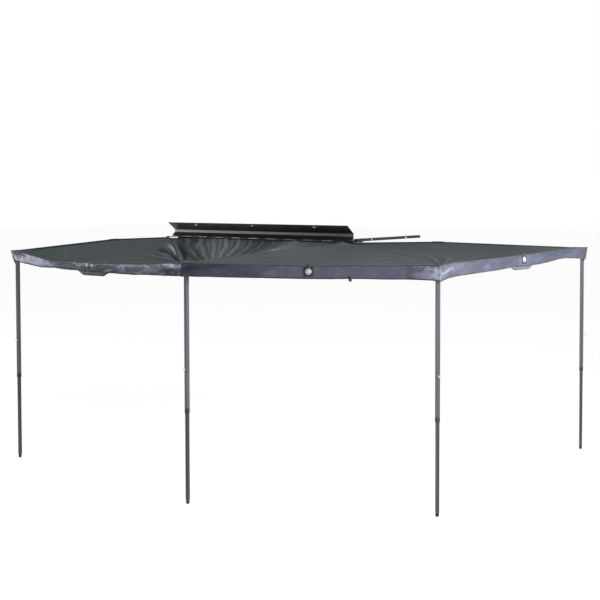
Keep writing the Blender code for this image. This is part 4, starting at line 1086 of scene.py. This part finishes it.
# In each valance's shape the crushed places are given as share of its run, width and depth, the deeper or shorter
# ones as share, reach and extra depth, and the arch in its hem as share, height and width.
PANELS = {
    "case": dict(
        edges=(lambda row: CASE_LINE[0].lerp(CASE_LINE[1], row_share(row)), lambda row: ridge_edge(2, row)),
        arms=(None, 2),
        sag=lambda s: CASE_SAG * s * (1 - s) * 2 + CREASE_SAG * s,
        relief=case_relief,
    ),
    "front": dict(
        edges=(crease_edge, lambda row: rail_edge(1, 1, row)),
        arms=(None, None),
        sag=lambda s: PANEL_SAG * math.sin(math.pi * s) + 0.055 * s * s,
        relief=front_relief,
        droop=lambda inside, s: 0.026 * math.exp(-(((inside - 0.74) / 0.15) ** 2)) * step(s, 0.4, 1.0),
        hang=dict(
            seed=8.5,
            waves=0.006,
            crushed=((0.06, 0.45, 0.018), (0.45, 0.50, 0.010), (0.92, 0.50, 0.016)),
            deep=((0.0, 0.20, 0.06), (0.45, 0.60, -0.20), (0.72, 0.30, -0.30)),
            arch=(0.60, 0.006, 0.20),
            tucked=(1.0,),
            light=front_light,
            patch=0.52,
        ),
    ),
    "side": dict(
        edges=(lambda row: ridge_edge(2, row), lambda row: ridge_edge(3, row)),
        arms=(2, 3),
        sag=lambda s: PANEL_SAG * math.sin(math.pi * s) + 0.014 * s * s,
        relief=taut_relief(2.0, 0.0018, (2, 28.0), (3, 24.0)),
        hang=dict(
            seed=6.8,
            waves=0.003,
            crushed=((0.0, 0.14, 0.008), (1.0, 0.24, 0.022)),
            deep=((0.0, 0.12, 0.06), (1.0, 0.16, 0.20)),
            arch=(0.5, 0.0, 1.0),
            tucked=(),
            # Painted shade: the side valance darkens towards its start at arm 2, strongly over its first part.
            light=lambda share, drop: -2.1 * (1 - step(share, 0.0, 0.42)) - 0.35 * (1 - step(share, 0.3, 0.8)),
            patch=0.50,
        ),
    ),
    "rear": dict(
        edges=(lambda row: ridge_edge(3, row), lambda row: rail_edge(4, -1, row)),
        arms=(3, None),
        sag=lambda s: PANEL_SAG * math.sin(math.pi * s) + 0.002 * s * s,
        relief=taut_relief(3.0, 0.0018, (3, 28.0), (4, 30.0)),
        # Painted shade: this tone darkens the rear panel's top.
        tone=-0.65,
        hang=dict(
            seed=6.8,
            waves=0.004,
            crushed=((0.0, 0.28, 0.020), (0.4, 0.5, 0.003), (0.97, 0.10, 0.006)),
            deep=((0.0, 0.16, 0.20), (0.45, 0.30, -0.12), (1.0, 0.05, 0.10)),
            arch=(0.80, 0.026, 0.11),
            tucked=(1.0,),
            # Painted shade: the rear valance is darkened from a little past its start to its end.
            light=lambda share, drop: -0.95 * step(share, 0.03, 0.22),
            patch=0.523,
        ),
    ),
}
made_panels = {}
for name, panel in PANELS.items():
    grid, folds = panel_rows(panel)
    hem_row = len(grid) - 1
    if "hang" in panel:
        pull_in(grid, EDGE_CURVE)
        panel["out"] = hang_valance(grid, folds, panel["hang"])
    piece, area, flat = cloth_mesh(f"canopy_{name}", grid, folds, hem_row)
    made_panels[name] = dict(piece=piece, valance=grid[hem_row:], area=area, flat=flat)
    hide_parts(f"canopy_{name}_panel")
    folds_with(piece, name)

# Webbing, bindings and seams. The panels are joined with felled seams under a tape with two rows of stitches,
# the hem is bound in woven tape, and a corded edge runs where the cloth turns down. All are black polyester.

webbing = Finish("webbing_black", 0.62, 0.0, 0.3, 0.3)
rib = (webbing.axis("X") * 1900.0 + webbing.axis("Y") * 1300.0 + webbing.axis("Z") * 2300.0).maths("SINE") * 0.5 + 0.5
fuzz = webbing.noise(400.0, 3.0, 0.7)
webbing.raise_by(rib, 0.00018)
webbing.raise_by(fuzz, 0.00010)
webbing_tone = webbing.blend(rib * 0.6 + fuzz * 0.4, (0.014, 0.014, 0.017), (0.045, 0.045, 0.052))
webbing_black = webbing.done(webbing_tone, fuzz * 0.2 + 0.52)

thread = Finish("thread_grey", 0.5, 0.0, 0.4, 0.3)
thread.raise_by(thread.noise(1500.0, 2.0), 0.00006)
thread_tone = thread.blend(thread.noise(300.0).over(0.3, 0.7), (0.055, 0.056, 0.062), (0.10, 0.10, 0.11))
thread_grey = thread.done(thread_tone, thread.noise(500.0) * 0.2 + 0.45)


def facing(lines, k, j, outward):
    """The direction that a strip of points faces at one of them, towards its outward side."""
    line = lines[k]
    along = (line[min(j + 1, len(line) - 1)] - line[max(j - 1, 0)]).normalized()
    down = (lines[min(k + 1, len(lines) - 1)][j] - lines[max(k - 1, 0)][j]).normalized()
    side = along.cross(down).normalized()
    return -side if side.dot(outward) < 0 else side


def strip(name, lines, lift, thickness, finish, outward, offset=1.0):
    """A tape laid on lines of points, lifted off them on the outward side and given its thickness."""
    bm = bmesh.new()
    rows = [
        [bm.verts.new(point + facing(lines, k, j, outward) * lift) for j, point in enumerate(line)]
        for k, line in enumerate(lines)
    ]
    for near, far in zip(rows, rows[1:]):
        for j in range(len(near) - 1):
            bm.faces.new((near[j], near[j + 1], far[j + 1], far[j]))
    turn_faces(bm, outward)
    made = mesh_piece(name, bm, finish)
    thicken(made, thickness, offset)
    return made


def above_hem(name, j, metres):
    """A point of a valance, that many metres up its column from the lower edge."""
    column = [row[j] for row in reversed(made_panels[name]["valance"])]
    for low, high in zip(column, column[1:]):
        step_length = (high - low).length
        if metres <= step_length:
            return low.lerp(high, metres / step_length)
        metres -= step_length
    return column[-1].copy()


def stitch_tree():
    """Short raised stitches in a row along a line, lying on its surface."""
    tree = node_tree("stitch_row", {
        "Pitch": ("Float", 0.008),
        "Length": ("Float", 0.0026),
        "Thickness": ("Float", 0.0007),
        "Finish": ("Material", None),
    })
    given = add_node(tree, "NodeGroupInput").outputs
    line = add_node(tree, "GeometryNodeMeshToCurve", None, {"Mesh": given["Geometry"]})
    spacing = {"Curve": line.outputs[0], "Length": given["Pitch"]}
    even = add_node(tree, "GeometryNodeResampleCurve", {"mode": "LENGTH"}, spacing)
    ball = {"Segments": 6, "Rings": 4, "Radius": 1.0}
    size = (given["Length"], given["Thickness"], given["Thickness"])
    way = add_node(tree, "GeometryNodeInputTangent")
    return balls_on_points(tree, given, even.outputs[0], ball, size, "X", way)


stitch_row = stitch_tree()


def stitches(name, lines, pitch, length, thickness):
    """Rows of stitches along several lines of points, as one piece."""
    bm = bmesh.new()
    for line in lines:
        verts = [bm.verts.new(point) for point in line]
        for pair in zip(verts, verts[1:]):
            bm.edges.new(pair)
    mesh = bpy.data.meshes.new(name)
    bm.to_mesh(mesh)
    bm.free()
    values = {"Pitch": pitch, "Length": length, "Thickness": thickness, "Finish": thread_grey}
    return grow(name, mesh, stitch_row, values)


HEM = 0.010
TAPE_THICKNESS = 0.0010
TAPE_GAP = 0.0003
CORD_RADIUS = 0.0026
CORD_LIFT = 0.0012
TAPE_STITCH = (0.009, 0.0030, 0.0008)
HEM_STITCH_ROWS = ((0.002, 0.0016), (HEM - 0.002, 0.0016), (VALANCE_DROP - 0.008, 0.0006))
HANGING = ("front", "side", "rear")
with_pieces = {name: [] for name in PANELS}


def sew_on(name, *pieces):
    """Pieces that belong to a panel's cloth and ride with it."""
    for piece in pieces:
        folds_with(piece, name)
        with_pieces[name].append(piece)


for name in HANGING:
    out = PANELS[name]["out"]
    edge = made_panels[name]["valance"][0]
    lines = [[above_hem(name, j, up) for j in range(len(edge))] for up in (HEM, HEM * 0.5, 0.0)]
    hem = strip(f"canopy_{name}_hem", lines, TAPE_GAP, TAPE_THICKNESS, webbing_black, out)
    behind = -(CLOTH + TAPE_GAP)
    hem_inside = strip(f"canopy_{name}_hem_inside", lines, behind, TAPE_THICKNESS, webbing_black, out, -1.0)
    bm = bmesh.new()
    angles = [math.pi * k / 4 for k in range(8)]
    cord = [out * (CORD_LIFT + CORD_RADIUS * math.cos(a)) + UP * CORD_RADIUS * math.sin(a) for a in angles]
    loft(bm, [[point + spoke for spoke in cord] for point in edge])
    corded_edge = mesh_piece(f"canopy_{name}_corded_edge", bm, webbing_black)
    rows = [[above_hem(name, j, up) + out * lift for j in range(len(edge))] for up, lift in HEM_STITCH_ROWS]
    sewn = stitches(f"canopy_{name}_hem_stitches", rows, *TAPE_STITCH)
    sew_on(name, hem, hem_inside, corded_edge, sewn)

SEAM_STEPS = 8
SEAM_HALF = 0.009
SEAM_THICKNESS = 0.0009
SEAM_STITCH_INSET = 0.003
SEAM_STITCH_LIFT = 0.0014


def seam_band(name, line, side):
    """A felled seam's tape, with a row of stitches near each of its edges."""
    def beside(offset, lift):
        return [point + side * offset + UP * lift for point in line]

    lines = [beside(offset, TAPE_GAP) for offset in (-SEAM_HALF, 0.0, SEAM_HALF)]
    inset = SEAM_HALF - SEAM_STITCH_INSET
    rows = [beside(offset, SEAM_STITCH_LIFT) for offset in (-inset, inset)]
    tape = strip(f"{name}_tape", lines, 0.0, SEAM_THICKNESS, canopy_tape, UP)
    return tape, stitches(f"{name}_stitches", rows, *TAPE_STITCH)


canopy_tape = cloth("seam_cloth", (0.052, 0.060, 0.064), (0.11, 0.12, 0.13), 0.06, 0.58, 0.00006)
for number, name in ((2, "side"), (3, "rear")):
    line = [ridge_edge(number, k / SEAM_STEPS) for k in range(1, LAST_ROW * SEAM_STEPS + 1)]
    for piece in seam_band(f"canopy_seam_{number}", line, arm_ways(number)[1]):
        fasten(piece, f"arm_{number}")
        with_pieces[name].append(piece)
line = [crease_edge(k / SEAM_STEPS) for k in range(1, LAST_ROW * SEAM_STEPS - 1)]
sew_on("case", *seam_band("canopy_seam_front", line, UP.cross(line[-1] - line[0]).normalized()))

# Patches, tabs and pouches. Each hanging side carries a plain moulded patch under a short webbing tab, and two
# sides have a shallow stowage pouch below the hem. The patches are soft rubber sewn on round their edge.

rubber = Finish("patch_rubber", 0.55, 0.0, 0.4)
rubber.raise_by(rubber.cells(700.0), 0.00008)
patch_rubber = rubber.done(
    rubber.blend(rubber.noise(90.0, 4.0).over(0.3, 0.7), (0.009, 0.009, 0.010), (0.020, 0.020, 0.022)),
    rubber.noise(120.0, 3.0) * 0.2 + 0.42,
)
pale = Finish("patch_pale", 0.5, 0.0, 0.4)
pale.raise_by(pale.noise(900.0, 2.0), 0.00006)
patch_pale = pale.done(pale.blend(pale.noise(150.0, 3.0).over(0.3, 0.7), (0.55, 0.55, 0.56), (0.40, 0.40, 0.41)), 0.5)

PATCH_HALF = 0.036
PATCH_DOWN = (0.008, 0.080)
PATCH_MIDDLE = 0.044
PATCH_GRID = (8, 8)
PATCH_RIM = 0.0006
PATCH_STITCH = (0.006, 0.0020, 0.0006)
PATCH_STITCH_INSET = 0.004
DISC = (0.0, 0.0185, 0.0030)
RING = (0.0215, 0.0250, 0.0026)
RING_FOOT = 0.0014
RING_CHAMFER = 0.0004
DISC_HOLE = 0.0002
RING_SIDES = 36
RING_ANGLES = [2 * math.pi * k / RING_SIDES for k in range(RING_SIDES)]
TAB_HALF = 0.010
TAB_DROP = 0.016
TAB_LIFT = 0.0022
TAB_GRID = (3, 4)
TAB_RISE = 0.018
TAB_LEAN = 0.003
SEWN_LIFT = 0.0004
SEWN_THICKNESS = 0.0016


def valance_point(name, share, along, down):
    """A point on a valance, so far along from a share of its run and so far down from its top."""
    runs = run_lengths(made_panels[name]["valance"][0])
    run = runs[-1] * share + along
    j = next(n for n in range(1, len(runs)) if runs[n] >= run or n == len(runs) - 1)
    here, there = (above_hem(name, column, VALANCE_DROP - down) for column in (j - 1, j))
    return here.lerp(there, (run - runs[j - 1]) / (runs[j] - runs[j - 1]))


def on_valance(name, share, half_run, downs, lift, counts):
    """Points over part of a valance, following its surface."""
    low, high = downs
    lines = []
    for k in range(counts[1] + 1):
        down = low + (high - low) * k / counts[1]
        runs = [-half_run + 2 * half_run * m / counts[0] for m in range(counts[0] + 1)]
        lines.append([valance_point(name, share, run, down) + PANELS[name]["out"] * lift for run in runs])
    return lines


for name in HANGING:
    share, out = PANELS[name]["hang"]["patch"], PANELS[name]["out"]
    lines = on_valance(name, share, PATCH_HALF, PATCH_DOWN, 0.0, PATCH_GRID)
    patch = strip(f"canopy_{name}_patch", lines, SEWN_LIFT, SEWN_THICKNESS, patch_rubber, out)
    rim = patch.modifiers.new("rim", "BEVEL")
    rim.width = PATCH_RIM
    rim.segments = 2
    bm = bmesh.new()
    way = facing(lines, PATCH_GRID[1] // 2, PATCH_GRID[0] // 2, out)
    for inner, outer, high in (DISC, RING):
        quarter = (outer - inner) / 4
        low = high - RING_CHAMFER
        section = ((inner, RING_FOOT), (inner, low), (inner + quarter, high), (outer - quarter, high), (outer, low),
                   (outer, RING_FOOT))
        rings = []
        for radius, height in section:
            radius = max(radius, DISC_HOLE)
            rings.append([
                valance_point(name, share, radius * math.cos(a), PATCH_MIDDLE + radius * math.sin(a)) + way * height
                for a in RING_ANGLES
            ])
        loft(bm, rings, closed=True)
    ring = mesh_piece(f"canopy_{name}_patch_ring", bm, patch_pale)
    tab_lines = on_valance(name, share, TAB_HALF, (0.0, TAB_DROP), TAB_LIFT, TAB_GRID)
    over_top = [[point + (UP * TAB_RISE - out * TAB_LEAN) * k for point in tab_lines[0]] for k in (1.0, 0.5)]
    tab = strip(f"canopy_{name}_tab", over_top + tab_lines, SEWN_LIFT, SEWN_THICKNESS, webbing_black, out)
    low, high = PATCH_DOWN
    sewn_downs = (low + PATCH_STITCH_INSET, high - PATCH_STITCH_INSET)
    rows = on_valance(name, share, PATCH_HALF - PATCH_STITCH_INSET, sewn_downs, TAB_LIFT, PATCH_GRID)
    down_one, up_other = [row[-1] for row in rows[1:]], [row[0] for row in rows[-2::-1]]
    around = rows[0] + down_one + rows[-1][-2::-1] + up_other
    sewn = stitches(f"canopy_{name}_patch_stitches", [around], *PATCH_STITCH)
    sew_on(name, patch, ring, tab, sewn)

pocket = Finish("pouch_cloth", 0.6, 0.0, 0.3, 0.2)
pocket_net = pocket.cells(420.0)
pocket.raise_by(pocket_net, 0.0005)
pouch_cloth = pocket.done(
    pocket.blend(pocket_net * 0.5 + pocket.noise(40.0, 4.0) * 0.5, (0.055, 0.056, 0.070), (0.155, 0.157, 0.185)),
    pocket.noise(120.0, 3.0) * 0.2 + 0.45,
)

POUCH_HALF = 0.195
POUCH_LAP = 0.016
POUCH_GRID = (28, 2)
POUCH_ROWS = 8
POUCH_BELLY = 0.014
POUCH_BACK = 0.006
POUCH_LEAST = 0.001
POUCH_RIPPLE = 0.002
BINDING_ROWS = 4
BINDING_LIFT = 0.0018
BINDING_THICKNESS = 0.0012
for name, share, deepest in (("front", 0.486, 0.031), ("rear", 0.508, 0.024)):
    out = PANELS[name]["out"]
    lines = on_valance(name, share, POUCH_HALF, (VALANCE_DROP - POUCH_LAP, VALANCE_DROP), 0.0, POUCH_GRID)
    top, *_, lap_end = [[point - out * POUCH_BACK for point in line] for line in lines]
    hang = []
    for k in range(POUCH_ROWS + 1):
        deep = k / POUCH_ROWS
        row = []
        for m, point in enumerate(lap_end):
            inside = min(m, POUCH_GRID[0] - m) / POUCH_GRID[0]
            drop = deepest * deep * min(inside * 6.0, 1.0) + POUCH_LEAST * deep
            belly = POUCH_BELLY * math.sin(math.pi * deep) * step(inside, 0.0, 0.20)
            ripple = POUCH_RIPPLE * soft_noise(m * 0.9, deep * 4.0, 6.0) * deep
            row.append(point + out * (belly + ripple) - UP * drop)
        hang.append(row)
    pouch = strip(f"canopy_{name}_pouch", [top] + hang, 0.0, SEWN_THICKNESS, pouch_cloth, out)
    soften = pouch.modifiers.new("soften", "SUBSURF")
    soften.levels = 1
    soften.render_levels = 1
    mouth_rows = hang[-BINDING_ROWS:]
    bound = strip(f"canopy_{name}_pouch_binding", mouth_rows, BINDING_LIFT, BINDING_THICKNESS, webbing_black, out)
    sew_on(name, pouch, bound)

# Corner straps. Near the outer corners of the front and rear a webbing strap is sewn on the valance, and the side
# has a shorter one. Each ends below the hem in a loop for a guy rope.

STRAP_HALF = 0.012
STRAP_GRID = (3, 6)
STRAP_LIFT = 0.0014
STRAP_GAP = 0.0002
STRAP_THICKNESS = 0.0015
LOOP_STEPS = 3
LOOP_DROP = 0.006
LOOP_LEAN = 0.0008
for name, share, tall in (("front", 0.985, 0.055), ("side", 0.66, 0.020), ("rear", 0.984, 0.055)):
    out = PANELS[name]["out"]
    lines = on_valance(name, share, STRAP_HALF, (VALANCE_DROP - tall, VALANCE_DROP), STRAP_LIFT, STRAP_GRID)
    away = UP * LOOP_DROP + out * LOOP_LEAN
    loop_end = [[point - away * k for point in lines[-1]] for k in range(1, LOOP_STEPS + 1)]
    strap = strip(f"canopy_{name}_strap_1", lines + loop_end, STRAP_GAP, STRAP_THICKNESS, webbing_black, out)
    sew_on(name, strap)

for name, panel in made_panels.items():
    width, length = panel["flat"]
    min(panel["area"], width * length)

# Floor, backdrop, light and camera. The floor and the sky are white. A large soft lamp stands beyond the rear of
# the vehicle, on the camera's right, and a weaker one beyond its front.

GROUND = -1.8502
GLOW_SHARE = 0.87
bm = bmesh.new()
bmesh.ops.create_grid(bm, x_segments=1, y_segments=1, size=60.0, matrix=Matrix.Translation((0, 0, GROUND)))
ground = Finish("floor_pale", 0.9, 0.0, 0.0)
rays = ground.node("LightPath").outputs
glow = ground.node("Emission", None, {"Color": (1.0, 1.0, 1.0), "Strength": 1.08})
seen_share = Level(ground, rays["Is Camera Ray"]) + rays["Is Glossy Ray"] + rays["Is Transmission Ray"]
shaders = {0: seen_share * GLOW_SHARE, 1: ground.shader.outputs[0], 2: glow.outputs[0]}
both = ground.node("MixShader", None, shaders)
feed(ground.tree, ground.tree.nodes["Material Output"].inputs["Surface"], both.outputs[0])
mesh_piece("floor", bm, ground.done((0.90, 0.90, 0.90)), False)

world = bpy.data.worlds.new("studio")
bpy.context.scene.world = world
world.use_nodes = True
sky = world.node_tree
sky.nodes.clear()
seen = add_node(sky, "ShaderNodeBackground", None, {"Color": (1.0, 1.0, 1.0), "Strength": 1.0})
lit = add_node(sky, "ShaderNodeBackground", None, {"Color": (0.93, 0.95, 1.0), "Strength": 0.27})
rays = add_node(sky, "ShaderNodeLightPath").outputs
mix = add_node(sky, "ShaderNodeMixShader", None, {0: rays["Is Camera Ray"], 1: lit.outputs[0], 2: seen.outputs[0]})
add_node(sky, "ShaderNodeOutputWorld", None, {"Surface": mix.outputs[0]})


def lamp(name, place, target, size, power):
    """A soft square lamp that faces a point."""
    data = bpy.data.lights.new(name, "AREA")
    data.size = size
    data.energy = power
    made = new_object(name, data)
    made.location = place
    made.rotation_euler = (Vector(target) - Vector(place)).to_track_quat("-Z", "Y").to_euler()


lamp("key", (-7.6, 0.4, 2.2), (-1.6, 0.9, 0.0), 1.6, 800.0)
lamp("fill", (8.5, 6.0, 3.4), (-0.2, 1.4, 0.0), 2.4, 400.0)

VIEW = dict(place=(-6.3224, 7.3795, 0.5092), yaw=-0.9018, pitch=0.0368, roll=-0.0021, lens=57.312, shift=-0.11)
camera_data = bpy.data.cameras.new("camera")
camera_data.lens = VIEW["lens"]
camera_data.sensor_width = 36.0
camera_data.sensor_fit = "HORIZONTAL"
camera_data.shift_y = VIEW["shift"]
camera = new_object("camera", camera_data)
camera.location = VIEW["place"]
level_turn = Matrix.Rotation(VIEW["yaw"] - math.pi / 2, 4, "Z")
tilt = Matrix.Rotation(math.pi / 2 - VIEW["pitch"], 4, "X") @ Matrix.Rotation(VIEW["roll"], 4, "Z")
camera.rotation_euler = (level_turn @ tilt).to_euler()
bpy.context.scene.camera = camera
bpy.context.scene.view_settings.view_transform = "Standard"
